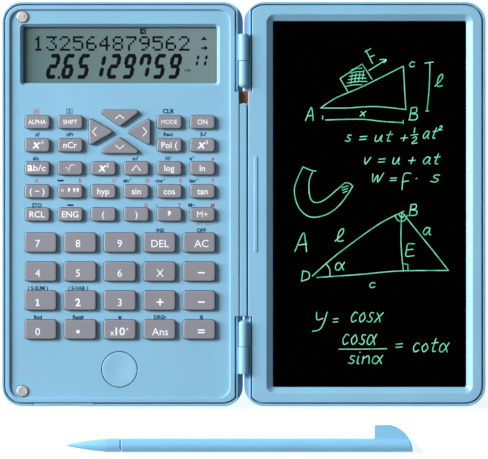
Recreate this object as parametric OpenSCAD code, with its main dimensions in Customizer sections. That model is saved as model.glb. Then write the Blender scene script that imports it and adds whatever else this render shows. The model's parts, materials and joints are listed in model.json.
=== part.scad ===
// Folding scientific calculator: a calculator half and a writing-tablet half on
// two hinges, opened flat, with a loose stylus lying in front of them.
// Drawing frame: X across the hinge axis, Y along it, Z up from the resting plane.

/* [Case] */
// Width of each half, from the hinge axis to its free edge
half_w = 99.2; // [99:0.1:100]
// Length of both halves along the hinge
case_l = 166; // [165.6:0.1:167]
// Plan radius of the case corners
corner_r = 8.2; // [8:0.1:9]
// Height of each half, from its underside to its rim
shell_h = 7.5; // [7.5:0.1:8]
// Height of the rubber feet below the case
foot_h = 0.5; // [0.4:0.1:0.8]
// Gap between the two rims when folded shut
closed_gap = 0.5; // [0.4:0.1:1]
// Thickness of the back covers' floor
floor_t = 1.2; // [1:0.1:1.3]
// Thickness of the back covers' lower wall
wall_t = 2.6; // [2.4:0.1:2.7]
// Thickness of the back covers' lip, seen round the outside
lip_t = 1; // [0.9:0.1:1.1]
// Width of the seam between that lip and the upper shell
seam = 0.4; // [0.3:0.05:0.5]
// Width of the calculator's raised rim
rim_w = 1.9; // [1.7:0.1:2]
// Depth of the calculator's face below its rim
face_drop = 1; // [0.8:0.1:1.1]
// Thickness of the calculator's face
face_t = 1.5; // [1.4:0.1:1.6]

/* [Hinges] */
// Radius of the hinge barrels
barrel_r = 2.05; // [1.9:0.05:2.1]
// Radius of the steel hinge pins
pin_r = 0.75; // [0.6:0.05:0.8]
// Radial clearance of the pins in the tablet's barrels
pin_clearance = 0.05; // [0.03:0.01:0.09]

/* [Keys] */
// Width of a digit key
digit_w = 13.3; // [13:0.1:13.5]
// Depth of a digit key
digit_d = 8.05; // [7.9:0.05:8.2]
// Width of a function key
function_w = 10.3; // [10:0.1:10.5]
// Depth of a function key
function_d = 5.6; // [5.4:0.1:5.8]
// Height of the key tops above the face
key_h = 1.8; // [1.4:0.1:1.9]
// Travel of the keys
key_travel = 1; // [0.8:0.1:1]
// Radius of the round erase button
erase_r = 7.2; // [7:0.1:7.3]

/* [Display and writing panel] */
// Visible size of the display
display_size = [78.9, 22.4];
// Visible size of the writing panel
writing_size = [78.9, 149.8];
// Depth of the writing panel below the tablet's frame
writing_drop = 1.8; // [1.5:0.1:1.9]

/* [Stylus] */
// Radius of the stylus
stylus_r = 2.95; // [2.8:0.05:3]
// Distance of the stylus from the middle of the case
stylus_y = -99.2; // [-105:0.1:-99]

/* [Hidden] */
$fn = 48;
eps = 0.01;
body_colour = [0.56, 0.76, 0.87];
key_colour = [0.55, 0.56, 0.6];

base_z = foot_h;
floor_z = base_z + floor_t;
rim_z = base_z + shell_h;
face_z = rim_z - face_drop;
under_z = face_z - face_t;
lip_z = rim_z - 0.5;
axis_z = rim_z + closed_gap / 2;
half_gap = 0.3;
half_l = case_l / 2;

// Hinge pockets: the walls, and where the pockets start along Y
pocket_x = 2.3;
pocket_wall_x = 3.1;
shell_x = 3.5;
spine_x = 1.9;
pocket_y = 46.4;
inner_knuckle_y = [47.6, 58.5];
outer_knuckle_y = [58.7, 69.7];

// Stack inside the calculator half
board_z = [2.2, 3.2];
flange_z = under_z - 0.6;
sheet_z = [board_z[1], flange_z - key_travel];
board_x = [-91, -10.4];
board_y = [-56.4, 73.5];
tongue_x = [-59, -43];
tongue_y = -77;

// Key grid
pad_centre = [-50.75, 29.6];
digit_pitch = [16.27, 11.87];
digit_top_y = -15.83;
function_pitch = [13.55, 9.47];
function_top_y = 33.6;
digit_r = 1.2;
function_r = 1;
key_gap = 0.2;
flange_w = 0.5;
arrow_r = 0.95;
arrow_points = [
    [[6.65, 8.05], [-6.65, 8.05], [0, 3.15]],
    [[-6.65, -8.05], [6.65, -8.05], [0, -3.2]],
    [[-11.75, 4.35], [-11.75, -4.35], [-4.05, 0]],
    [[11.7, -4.35], [11.7, 4.35], [4.3, 0]]
];
erase_xy = [-50.9, -67.9];

DIGIT_KEYS = [
    ["key_7", "key_8", "key_9", "key_delete", "key_clear"],
    ["key_4", "key_5", "key_6", "key_multiply", "key_divide"],
    ["key_1", "key_2", "key_3", "key_add", "key_subtract"],
    ["key_0", "key_point", "key_exponent", "key_answer", "key_equals"]
];
UPPER_KEYS = [
    ["key_alpha", "key_shift", "key_mode", "key_on"],
    ["key_reciprocal", "key_combinations", "key_polar", "key_cube"]
];
UPPER_COLUMNS = [0, 1, 4, 5];
KEY_ROWS = ["function_keys_upper", "function_keys_middle", "function_keys_lower"];
ARROW_KEYS = ["key_up", "key_down", "key_left", "key_right"];

// Display window and writing window
display_centre = [-50.75, 61.2];
display_bevel = 1.3;
lens_lip = 1;
writing_centre = [51.4, 0.1];
writing_bevel = 2.45;
panel_lip = 1.4;
panel_t = 1.2;
backing_t = 1;
window_r = 0.8;

magnet_xy = [90.75, 76.8];
magnet_r = 2.35;
magnet_z = [4.9, 7.6];
keeper_x = [86.5, 93];
keeper_y = [77.9, 80.2];
keeper_z = [under_z, 7.2];

// Coin cell drawer
cell_r = 10;
cell_z = [2, 5.2];
cell_xy = [-73.7, -69.6];
drawer_x = [-86, -61.4];
drawer_back_y = -57.7;
drawer_z = [1.75, 5.2];
drawer_gap = 0.15;
drawer_front_t = 1.2;

screw_r = 0.9;
screw_head_r = 1.7;
screw_head_z = [base_z + 0.1, base_z + 0.6];
post_r = 2.2;
tablet_post_r = 1.9;
calculator_screw_xy = [[-75, 77.6], [-26, 77.6], [-93.5, 43], [-93.5, -50], [-7.2, 30], [-7.2, -56]];
tablet_screw_xy = [[24, 78.3], [80, 78.3], [24, -78.3], [80, -78.3], [6.6, 30], [6.6, -30]];
foot_r = 4;
foot_recess = 0.4;
foot_x = [15, 88];
foot_y = [-72, 72];

ribbon_y = [41.4, 45.4];
ribbon_z = [5.37, 5.49];
spine_y = [-46.1, 41.1];
rib_xy = [4.96, -0.15];
rib_size = [1.5, 39.3, 0.3];

stylus_x = [-72.9, 69.6];
stylus_joint_x = -50.5;
stylus_taper_x = -56;
stylus_point_r = 0.6;
stylus_end = [57, -102.9];
stylus_end_r = 12.7;
flag_x = 53.7;
flag_y = -90.8;
flag_t = 2;
spigot_r = 1.8;
spigot_l = 6;

// The origin is at the middle of the whole object's box, in plan
origin_y = (half_l + stylus_y - stylus_r) / 2;

// ---- plan shapes ----

function column_x(col, count, pitch) = pad_centre.x + (col - (count - 1) / 2) * pitch;
function digit_xy(row, col) =
    [column_x(col, 5, digit_pitch.x), digit_top_y - row * digit_pitch.y];
function function_xy(row, col) =
    [column_x(col, 6, function_pitch.x), function_top_y - row * function_pitch.y];

module rounded(x, y, r) {
    translate([x[0] + r, y[0]]) square([x[1] - x[0] - 2 * r, y[1] - y[0]]);
    translate([x[0], y[0] + r]) square([x[1] - x[0], y[1] - y[0] - 2 * r]);
    for (cx = [x[0] + r, x[1] - r], cy = [y[0] + r, y[1] - r])
        translate([cx, cy]) circle(r);
}

module centred(size, r, grow = 0) {
    rounded([-size.x / 2 - grow, size.x / 2 + grow], [-size.y / 2 - grow, size.y / 2 + grow],
            r + grow);
}

// Direction, in degrees, that the edge from p to q faces
function facing(p, q) = atan2(p.x - q.x, q.y - p.y);

module rounded_triangle(p, r) {
    arc_steps = 8;
    faces = [for (i = [0:2]) facing(p[i], p[(i + 1) % 3])];
    polygon([
        for (i = [0:2])
            let (start = faces[(i + 2) % 3], turn = (faces[i] - start + 360) % 360)
            for (k = [0:arc_steps])
                let (a = start + turn * k / arc_steps) p[i] + r * [cos(a), sin(a)]
    ]);
}

module slab(z) {
    translate([0, 0, z[0]]) linear_extrude(z[1] - z[0]) children();
}

// Everything with X below the given value
module left_of(x) {
    translate([-2 * half_w, -case_l]) square([2 * half_w + x, 2 * case_l]);
}

// Outline of the left half, brought in by an inset
module outline(inset) {
    rounded([-half_w + inset, -half_gap - inset], [-half_l + inset, half_l - inset],
            corner_r - inset);
}

module interior_plan() {
    intersection() {
        outline(wall_t);
        left_of(-pocket_wall_x);
    }
}

module lip_plan() {
    difference() {
        intersection() {
            outline(0);
            left_of(-pocket_x);
        }
        intersection() {
            outline(lip_t);
            left_of(-pocket_wall_x);
        }
        translate([-pocket_wall_x - eps, -pocket_y]) square([pocket_wall_x, 2 * pocket_y]);
    }
}

module shell_plan() {
    spine_reach = pocket_y - seam / 2;
    intersection() {
        outline(lip_t + seam);
        left_of(-shell_x);
    }
    translate([-shell_x - 1, -spine_reach]) square([shell_x + 1 - spine_x, 2 * spine_reach]);
}

module recess_plan() {
    step = lip_t + seam + rim_w;
    rounded([-half_w + step, -half_gap - step - 2], [-half_l + step, half_l - step],
            corner_r - step);
}

// A pocket that narrows from its full size at the top to the window at the bottom
module sloped_window(centre, size, bevel, z) {
    translate([centre.x, centre.y, 0]) hull() {
        translate([0, 0, z[0] - eps]) linear_extrude(eps) centred(size, window_r);
        translate([0, 0, z[1]]) linear_extrude(eps) centred(size, window_r, bevel);
    }
}

module screw_post(r) {
    difference() {
        translate([0, 0, floor_z]) cylinder(r = r, h = under_z - floor_z + eps);
        screw_bore();
    }
}

module screw_bore() {
    translate([0, 0, floor_z - eps]) cylinder(r = screw_r, h = 4.5);
}

module screw_hole() {
    translate([0, 0, base_z - eps]) cylinder(r = screw_r + 0.15, h = floor_t + 2 * eps);
    translate([0, 0, base_z - eps]) cylinder(r = screw_head_r + 0.2, h = 0.6 + eps);
}

module screw() {
    slot_depth = 0.3;
    difference() {
        union() {
            slab(screw_head_z) circle(screw_head_r);
            slab([screw_head_z[1], floor_z + 4.2]) circle(screw_r);
        }
        for (turn = [0, 90]) rotate(turn)
            translate([-1.1, -0.2, screw_head_z[0] - eps]) cube([2.2, 0.4, slot_depth]);
    }
}

module foot_recesses() {
    for (x = foot_x, y = foot_y) slab([base_z - eps, base_z + foot_recess])
        translate([-x, y]) circle(foot_r + 0.1);
}

module feet() {
    for (x = foot_x, y = foot_y) slab([0, base_z + foot_recess]) translate([-x, y]) circle(foot_r);
}

module along_y(y, r1, r2) {
    translate([0, y[0], axis_z]) rotate([-90, 0, 0]) cylinder(r1 = r1, r2 = r2, h = y[1] - y[0]);
}

// Lower shell shared by both halves, drawn for the left half
module tray() {
    difference() {
        slab([base_z, under_z]) outline(0);
        slab([floor_z, under_z + eps]) interior_plan();
        foot_recesses();
        translate([-pocket_wall_x - eps, ribbon_y[0] - 0.2, ribbon_z[0] - 0.02])
            cube([pocket_wall_x + 1, ribbon_y[1] - ribbon_y[0] + 0.4, 1]);
    }
    slab([under_z, lip_z]) lip_plan();
}

// Barrel with the web that joins it to the left half's hinge wall
module knuckle(y, end_y) {
    union() {
        along_y(y, barrel_r, barrel_r);
        along_y([end_y, y[0]], 1.1, barrel_r);
        translate([-pocket_x - 0.3, end_y + 0.5, under_z])
            cube([pocket_x + 0.3 - half_gap, y[1] - end_y - 0.5, lip_z - under_z]);
    }
}

module outer_knuckle() {
    difference() {
        union() {
            along_y(outer_knuckle_y, barrel_r, barrel_r);
            translate([-pocket_x - 0.3, outer_knuckle_y[0], under_z])
                cube([pocket_x + 0.3 - half_gap, outer_knuckle_y[1] - outer_knuckle_y[0],
                      lip_z - under_z]);
        }
        along_y([outer_knuckle_y[0] - 1, outer_knuckle_y[1] + 1], pin_r, pin_r);
    }
}

module inner_knuckle() {
    dome_l = 1.2;
    difference() {
        knuckle([inner_knuckle_y[0] + dome_l, inner_knuckle_y[1]], inner_knuckle_y[0]);
        along_y([inner_knuckle_y[0] + 1.8, inner_knuckle_y[1] + 1],
                pin_r + pin_clearance, pin_r + pin_clearance);
    }
}

module both_ends() {
    children();
    mirror([0, 1, 0]) children();
}

// ---- calculator half ----

module calculator_back_cover() {
    guide_h = 3;
    color(body_colour) {
        difference() {
            tray();
            for (p = calculator_screw_xy) translate(p) screw_hole();
            translate([drawer_x[0] - drawer_gap, -half_l - 1, floor_z])
                cube([drawer_x[1] - drawer_x[0] + 2 * drawer_gap, wall_t + 1 + eps, shell_h]);
        }
        for (x = [drawer_x[0] - drawer_gap - 1, drawer_x[1] + drawer_gap])
            translate([x, -half_l + wall_t - 0.1, floor_z - eps])
                cube([1, drawer_back_y + half_l - wall_t, guide_h]);
        for (x = [-88, -50.75, -13], y = [-40, 20, 70]) translate([x, y, floor_z - eps])
            cylinder(r = 1.5, h = board_z[0] - floor_z + eps);
        both_ends() outer_knuckle();
    }
}

module key_holes() {
    for (row = [0:3], col = [0:4]) translate(digit_xy(row, col))
        centred([digit_w, digit_d], digit_r, key_gap);
    for (row = [0:1], col = UPPER_COLUMNS) translate(function_xy(row, col))
        centred([function_w, function_d], function_r, key_gap);
    for (row = [2:4], col = [0:5]) translate(function_xy(row, col))
        centred([function_w, function_d], function_r, key_gap);
    for (p = arrow_points) translate(pad_centre) rounded_triangle(p, arrow_r + key_gap);
    translate(erase_xy) circle(erase_r + key_gap);
}

module magnet_places() {
    for (side = [-1, 1]) translate([-magnet_xy.x, side * magnet_xy.y]) children();
}

module calculator_face() {
    color(body_colour) difference() {
        union() {
            slab([under_z, rim_z]) difference() {
                shell_plan();
                recess_plan();
            }
            slab([under_z, face_z]) difference() {
                recess_plan();
                key_holes();
            }
            for (p = calculator_screw_xy) translate(p) screw_post(post_r);
            magnet_places() slab([magnet_z[0] - 0.6, under_z + eps]) circle(magnet_r + 1);
        }
        sloped_window(display_centre, display_size, display_bevel, [under_z, face_z]);
        magnet_places() slab([magnet_z[0], rim_z]) circle(magnet_r);
        for (p = calculator_screw_xy) translate(p) screw_bore();
    }
}

module display_lens() {
    color("lightslategray") slab([under_z - 1, under_z]) translate(display_centre)
        centred(display_size, window_r, lens_lip);
}

module display_panel() {
    color("dimgray") slab([board_z[1], under_z - 1]) translate(display_centre)
        centred(display_size, window_r, lens_lip - 0.2);
}

module key_membrane() {
    dome_r = 1.8;
    dome_z = [sheet_z[1] - eps, flange_z];
    color("whitesmoke") {
        slab(sheet_z) {
            rounded(board_x, [-54.4, 41], 1);
            translate(erase_xy) square([12, 12], center = true);
        }
        slab(dome_z) {
            for (row = [0:3], col = [0:4]) translate(digit_xy(row, col)) circle(dome_r);
            for (row = [0:1], col = UPPER_COLUMNS) translate(function_xy(row, col)) circle(dome_r);
            for (row = [2:4], col = [0:5]) translate(function_xy(row, col)) circle(dome_r);
            for (p = arrow_points) translate(pad_centre + (p[0] + p[1] + p[2]) / 3) circle(dome_r);
            translate(erase_xy) circle(dome_r);
        }
    }
}

module circuit_board() {
    color("darkgreen") slab(board_z) {
        rounded(board_x, board_y, 1);
        rounded(tongue_x, [tongue_y, board_y[0] + 3], 1);
    }
}

module battery_contacts() {
    leaf_t = 0.15;
    top_x = -75.8;
    side_x = -72.2;
    color("gold") {
        // Leaf over the cell, with its leg on the board
        translate([top_x, cell_xy.y - 2, under_z - 0.2]) cube([1.3, 15.4, leaf_t]);
        translate([top_x, cell_xy.y + 13.4 - leaf_t, board_z[1]])
            cube([1.3, leaf_t, under_z - 0.2 + leaf_t - board_z[1]]);
        // Tab at the cell's rim, with its foot on the board
        translate([side_x, -59.4, board_z[1]]) cube([1.8, 4.6, leaf_t]);
        translate([side_x, -59.4, board_z[1]]) cube([1.8, leaf_t, 1.3]);
    }
}

module coin_cell() {
    color("silver") translate([cell_xy.x, cell_xy.y, 0]) {
        slab([cell_z[0], cell_z[1] - 0.4]) circle(cell_r);
        slab([cell_z[1] - 0.4 - eps, cell_z[1]]) circle(cell_r - 1);
    }
}

module battery_drawer() {
    notch_x = [-79.7, -67.2];
    notch_depth = 0.5;
    color(body_colour) difference() {
        union() {
            translate([drawer_x[0], -half_l, drawer_z[0]])
                cube([drawer_x[1] - drawer_x[0], drawer_front_t, lip_z - drawer_z[0]]);
            translate([drawer_x[0] + 0.1, -half_l + drawer_front_t - eps, drawer_z[0]])
                cube([drawer_x[1] - drawer_x[0] - 0.2, drawer_back_y + half_l - drawer_front_t,
                      drawer_z[1] - drawer_z[0]]);
        }
        translate([cell_xy.x, cell_xy.y, cell_z[0]]) cylinder(r = cell_r + 0.1, h = 10);
        translate([-72.5, cell_xy.y + 8, board_z[1] - 0.2]) cube([2.4, 10, 10]);
        translate([notch_x[0], -half_l - 1, base_z + 2])
            cube([notch_x[1] - notch_x[0], 1 + notch_depth, shell_h]);
    }
}

module closing_magnets() {
    color("silver") magnet_places() slab(magnet_z) circle(magnet_r);
}

module calculator_screws() {
    color("silver") for (p = calculator_screw_xy) translate(p) screw();
}

module calculator_feet() {
    color("slategray") feet();
}

module hinge_pins() {
    color("silver") both_ends()
        along_y([inner_knuckle_y[0] + 2, outer_knuckle_y[1] - 0.2], pin_r, pin_r);
}

module flex_ribbon() {
    ribbon_x = [board_x[1] - 0.5, writing_centre.x - writing_size.x / 2 - panel_lip];
    color("saddlebrown") {
        translate([ribbon_x[0], ribbon_y[0], ribbon_z[0]])
            cube([ribbon_x[1] - ribbon_x[0], ribbon_y[1] - ribbon_y[0], ribbon_z[1] - ribbon_z[0]]);
        translate([ribbon_x[0], ribbon_y[0], board_z[1]])
            cube([0.12, ribbon_y[1] - ribbon_y[0], ribbon_z[1] - board_z[1]]);
    }
}

module spine_cover() {
    plate_x = [-1.6, 1.3];
    plate_z = [axis_z - 2.25, axis_z - 1.15];
    leg_x = [-1.6, -0.4];
    color(body_colour) {
        translate([plate_x[0], spine_y[0], plate_z[0]])
            cube([plate_x[1] - plate_x[0], spine_y[1] - spine_y[0], plate_z[1] - plate_z[0]]);
        translate([leg_x[0], spine_y[0], under_z])
            cube([leg_x[1] - leg_x[0], spine_y[1] - spine_y[0], plate_z[0] - under_z + eps]);
    }
}

module erase_button() {
    color(body_colour) translate([erase_xy.x, erase_xy.y, 0]) {
        slab([flange_z, under_z]) circle(erase_r + flange_w + 0.2);
        slab([under_z - eps, face_z]) circle(erase_r);
    }
}

// ---- keys ----

module key(size, r) {
    color(key_colour) {
        slab([flange_z, under_z]) centred(size, r, flange_w);
        slab([under_z - eps, face_z + key_h]) centred(size, r);
    }
}

module digit_key(row, col) {
    translate(digit_xy(row, col)) key([digit_w, digit_d], digit_r);
}

module function_key(row, col) {
    translate(function_xy(row, col)) key([function_w, function_d], function_r);
}

module arrow_key(points) {
    color(key_colour) translate(pad_centre) {
        slab([flange_z, under_z]) rounded_triangle(points, arrow_r + flange_w);
        slab([under_z - eps, face_z + key_h]) rounded_triangle(points, arrow_r);
    }
}

// ---- tablet half, drawn by mirroring the left half ----

module tablet_back_cover() {
    rib_t = 1.2;
    panel_bottom = rim_z - writing_drop - panel_t - backing_t;
    color(body_colour) {
        difference() {
            mirror([1, 0, 0]) tray();
            for (p = tablet_screw_xy) translate(p) screw_hole();
        }
        for (x = [30, 52, 74]) translate([x - rib_t / 2, -66, floor_z - eps])
            cube([rib_t, 132, panel_bottom - floor_z + eps]);
        both_ends() mirror([1, 0, 0]) inner_knuckle();
    }
}

module tablet_frame() {
    window_z = rim_z - writing_drop;
    color(body_colour) {
        difference() {
            union() {
                slab([under_z, rim_z]) mirror([1, 0, 0]) shell_plan();
                for (p = tablet_screw_xy) translate(p) screw_post(tablet_post_r);
            }
            slab([under_z - eps, window_z]) translate(writing_centre)
                centred(writing_size, window_r, panel_lip + 0.05);
            sloped_window(writing_centre, writing_size, writing_bevel, [window_z, rim_z]);
            for (p = tablet_screw_xy) translate(p) screw_bore();
            slab([keeper_z[0] - eps, keeper_z[1]]) keeper_plan();
        }
        translate([rib_xy.x - rib_size.x / 2, rib_xy.y - rib_size.y / 2, rim_z - eps])
            cube([rib_size.x, rib_size.y, rib_size.z + eps]);
    }
}

module writing_panel() {
    top = rim_z - writing_drop;
    color([0.03, 0.03, 0.04]) slab([top - panel_t, top]) translate(writing_centre)
        centred(writing_size, window_r, panel_lip);
}

module backing_board() {
    top = rim_z - writing_drop - panel_t;
    color("burlywood") slab([top - backing_t, top]) translate(writing_centre)
        centred(writing_size, window_r, panel_lip);
}

// Steel bars under the frame that the calculator's magnets pull on
module keeper_plan() {
    both_ends() translate([keeper_x[0], keeper_y[0]])
        square([keeper_x[1] - keeper_x[0], keeper_y[1] - keeper_y[0]]);
}

module keeper_plates() {
    color("silver") slab(keeper_z) keeper_plan();
}

module tablet_screws() {
    color("silver") for (p = tablet_screw_xy) translate(p) screw();
}

module tablet_feet() {
    color("slategray") mirror([1, 0, 0]) feet();
}

// ---- stylus ----

module along_x(x, r1, r2) {
    translate([x[0], stylus_y, stylus_r]) rotate([0, 90, 0])
        cylinder(r1 = r1, r2 = r2, h = x[1] - x[0]);
}

module stylus_barrel() {
    color(body_colour) difference() {
        intersection() {
            union() {
                along_x([stylus_joint_x, stylus_x[1] + 5], stylus_r, stylus_r);
                translate([flag_x, stylus_y, stylus_r - flag_t / 2])
                    cube([20, flag_y - stylus_y, flag_t]);
            }
            union() {
                translate([stylus_joint_x - 1, stylus_y - 10, -1])
                    cube([stylus_end.x - stylus_joint_x + 1, 20, 10]);
                translate([stylus_end.x, stylus_end.y, -1]) cylinder(r = stylus_end_r, h = 10);
            }
        }
        along_x([stylus_joint_x - 1, stylus_joint_x + spigot_l + 0.2], spigot_r, spigot_r);
    }
}

module stylus_tip() {
    color(body_colour) {
        along_x([stylus_x[0], stylus_taper_x], stylus_point_r, stylus_r);
        along_x([stylus_taper_x - eps, stylus_joint_x], stylus_r, stylus_r);
        along_x([stylus_joint_x - eps, stylus_joint_x + spigot_l], spigot_r, spigot_r);
    }
}

// ---- the assembly ----

module placed() {
    translate([0, -origin_y, 0]) children();
}

placed() calculator_back_cover();
placed() calculator_face();
placed() display_lens();
placed() display_panel();
placed() key_membrane();
placed() circuit_board();
placed() battery_contacts();
placed() coin_cell();
placed() battery_drawer();
placed() closing_magnets();
placed() calculator_screws();
placed() calculator_feet();
placed() hinge_pins();
placed() flex_ribbon();
placed() spine_cover();
placed() tablet_frame();
placed() tablet_back_cover();
placed() writing_panel();
placed() backing_board();
placed() keeper_plates();
placed() tablet_screws();
placed() tablet_feet();
placed() stylus_barrel();
placed() stylus_tip();
placed() erase_button();
for (row = [0:3], col = [0:4])
    placed() digit_key(row, col);
for (row = [0:1], i = [0:3])
    placed() function_key(row, UPPER_COLUMNS[i]);
for (row = [0:2])
    placed() for (col = [0:5]) function_key(row + 2, col);
for (i = [0:3])
    placed() arrow_key(arrow_points[i]);
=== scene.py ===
"""A folding scientific calculator, opened flat: its looks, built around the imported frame."""

import json
import math

import bmesh
import bpy
from mathutils import Matrix, Vector


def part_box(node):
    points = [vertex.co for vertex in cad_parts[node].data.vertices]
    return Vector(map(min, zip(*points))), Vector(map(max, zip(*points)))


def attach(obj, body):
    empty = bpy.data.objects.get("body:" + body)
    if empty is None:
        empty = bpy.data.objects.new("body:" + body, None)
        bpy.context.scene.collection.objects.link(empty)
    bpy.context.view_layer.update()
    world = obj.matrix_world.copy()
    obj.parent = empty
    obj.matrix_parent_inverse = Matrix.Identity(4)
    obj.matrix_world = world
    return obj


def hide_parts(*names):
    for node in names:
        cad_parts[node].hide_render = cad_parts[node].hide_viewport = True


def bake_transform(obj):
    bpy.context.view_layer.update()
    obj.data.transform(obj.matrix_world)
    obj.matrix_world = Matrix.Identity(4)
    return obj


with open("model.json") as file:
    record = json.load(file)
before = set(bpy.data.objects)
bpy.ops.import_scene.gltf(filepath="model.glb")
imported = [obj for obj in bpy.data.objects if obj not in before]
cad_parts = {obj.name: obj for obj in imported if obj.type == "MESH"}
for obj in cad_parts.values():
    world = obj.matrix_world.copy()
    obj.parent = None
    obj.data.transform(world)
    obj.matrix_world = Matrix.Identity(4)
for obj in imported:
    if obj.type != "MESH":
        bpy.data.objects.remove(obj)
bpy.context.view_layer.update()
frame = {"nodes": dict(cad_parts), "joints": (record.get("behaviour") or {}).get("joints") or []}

# ---- the drawing frame: millimetres, x across the hinge, y along it from the case's middle ----

MM = 0.001
cover_low, cover_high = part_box("calculator_back_cover")
CASE_Y = (cover_low.y + cover_high.y) / 2
TO_ROW = Matrix.Translation((0, CASE_Y, 0)) @ Matrix.Scale(MM, 4)
TO_DRAWING = TO_ROW.inverted()


class Box:
    """A CAD node's box in the drawing frame."""

    def __init__(self, node):
        low, high = (TO_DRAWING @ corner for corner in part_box(node))
        self.x, self.y, self.z = zip(low, high)
        self.size = high - low
        self.centre = (low + high) / 2


COVER = Box("calculator_back_cover")
FACE = Box("calculator_face")
LENS = Box("display_lens")
FILM = Box("writing_panel")
BUTTON = Box("erase_button")
KEY = Box("key_7")
DRAWER = Box("battery_drawer")
CELL = Box("coin_cell")
MAGNETS = Box("closing_magnets")
SPINE = Box("spine_cover")
RIBBON = Box("flex_ribbon")
BARREL = Box("stylus_barrel")
TIP = Box("stylus_tip")

HALF_W = -COVER.x[0]
HALF_L = COVER.y[1]
BASE_Z = COVER.z[0]
UNDER_Z = LENS.z[1]
FACE_Z = BUTTON.z[1]
RIM_Z = FACE.z[1]
LIP_Z = RIM_Z - 0.5
FLOOR_T = 1.2
FLOOR_Z = BASE_Z + FLOOR_T
AXIS_Z = next(j for j in frame["joints"] if j["name"] == "fold")["pos_m"][2] / MM
HALF_GAP = 0.3
CORNER_R = 8.2
LIP_T = 1.0
SHELL_INSET = 1.55
WALL_T = 2.6
RIM_W = 1.75
RIM_EDGE = 0.32
POCKET_X = -2.3
POCKET_WALL_X = -3.1
SHELL_X = -3.5
SPINE_X = FACE.x[1]
POCKET_Y = 46.4
SHELL_POCKET_Y = 46.2
BARREL_R = 2.05
PIN_R = 0.75
INNER_KNUCKLE_Y = (47.6, 58.5)
OUTER_KNUCKLE_Y = (58.7, 69.7)
KNUCKLE_EDGE = 0.22
KEY_FLANGE = 0.5
KEY_GAP = 0.14
KEY_SEAT_Z = UNDER_Z - 0.05
KEY_R = 1.3
BUTTON_R = BUTTON.size.x / 2 - KEY_FLANGE - 0.2
BUTTON_GAP = 0.28
LENS_LIP = 0.65
FILM_LIP = 1.15
WINDOW_R = 0.8
WINDOW_SHIFT = Vector((0.3, -0.12, 0))
DISPLAY_BEVEL = 1.15
WRITING_BEVEL = 2.6
FUNCTION_SIZE = (10.3, 5.6)
PRINT_T = 0.02

DIGIT_KEYS = [
    ("key_7", "7"), ("key_8", "8"), ("key_9", "9"), ("key_delete", "DEL"), ("key_clear", "AC"),
    ("key_4", "4"), ("key_5", "5"), ("key_6", "6"), ("key_multiply", "X"), ("key_divide", "-"),
    ("key_1", "1"), ("key_2", "2"), ("key_3", "3"), ("key_add", "+"), ("key_subtract", "-"),
    ("key_0", "0"), ("key_point", "•"), ("key_exponent", "x10"), ("key_answer", "Ans"),
    ("key_equals", "="),
]
UPPER_KEYS = [
    ("key_alpha", "ALPHA"), ("key_shift", "SHIFT"), ("key_mode", "MODE"), ("key_on", "ON"),
    ("key_reciprocal", "x{-1}"), ("key_combinations", "nCr"), ("key_polar", "Pol ("),
    ("key_cube", "x{3}"),
]
KEY_ROWS = [
    ("function_keys_upper", ["ab/c", "√", "x{2}", "^", "log", "ln"]),
    ("function_keys_middle", ["( − )", "°’”", "hyp", "sin", "cos", "tan"]),
    ("function_keys_lower", ["RCL", "ENG", "(", ")", ",", "M+"]),
]


# ---- outlines, as lists of (x, y) going anticlockwise ----

def arc(cx, cy, r, start, end, steps=8):
    angles = [math.radians(start + (end - start) * k / steps) for k in range(steps + 1)]
    return [(cx + r * math.cos(a), cy + r * math.sin(a)) for a in angles]


def circle(cx, cy, r, steps=48):
    return arc(cx, cy, r, 0, 360, steps)[:-1]


def rounded_box(x, y, r, steps=8):
    points = []
    corners = [(x[1] - r, y[0] + r), (x[1] - r, y[1] - r), (x[0] + r, y[1] - r), (x[0] + r, y[0] + r)]
    for k, (cx, cy) in enumerate(corners):
        points += arc(cx, cy, r, 90 * k - 90, 90 * k, steps)
    return points


def centred_box(centre, size, r, grow=0.0):
    w, d = size[0] / 2 + grow, size[1] / 2 + grow
    return rounded_box((centre[0] - w, centre[0] + w), (centre[1] - d, centre[1] + d), r + grow)


def rounded_triangle(corners, r, steps=6):
    """The outline at distance r around three corner centres."""
    faces = []
    for i in range(3):
        (px, py), (qx, qy) = corners[i], corners[(i + 1) % 3]
        faces.append(math.degrees(math.atan2(px - qx, qy - py)))
    points = []
    for i in range(3):
        start = faces[i - 1]
        turn = (faces[i] - start) % 360
        points += arc(corners[i][0], corners[i][1], r, start, start + turn, steps)
    return points


def mirrored(points):
    return [(-x, y) for x, y in reversed(points)]


def inset(points, d):
    """The closed outline brought in by d, or out where d is negative."""
    result = []
    for i, point in enumerate(points):
        here, before, after = Vector(point), Vector(points[i - 1]), Vector(points[(i + 1) % len(points)])
        a, b = (here - before).normalized(), (after - here).normalized()
        n, m = Vector((-a.y, a.x)), Vector((-b.y, b.x))
        result.append(tuple(here + (n + m) * d / (1 + n.dot(m))))
    return result


def half_outline(step, cut_x):
    """Four corner arcs of the left half's outline brought in by step and cut off at cut_x."""
    r = CORNER_R - step
    x0, x1, y = -HALF_W + step, -HALF_GAP - step, HALF_L - step
    cut = math.degrees(math.acos(min(1.0, (cut_x - x1 + r) / r)))
    return [
        arc(x1 - r, y - r, r, cut, 90),
        arc(x0 + r, y - r, r, 90, 180),
        arc(x0 + r, r - y, r, 180, 270),
        arc(x1 - r, r - y, r, 270, 360 - cut),
    ]


def joined(parts):
    return [point for part in parts for point in part]


def shell_outline():
    """The upper shell's outline: narrower beside the hinges, and wider between them."""
    return joined(half_outline(SHELL_INSET, SHELL_X)) + [
        (SHELL_X, -SHELL_POCKET_Y), (SPINE_X, -SHELL_POCKET_Y),
        (SPINE_X, SHELL_POCKET_Y), (SHELL_X, SHELL_POCKET_Y),
    ]


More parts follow.
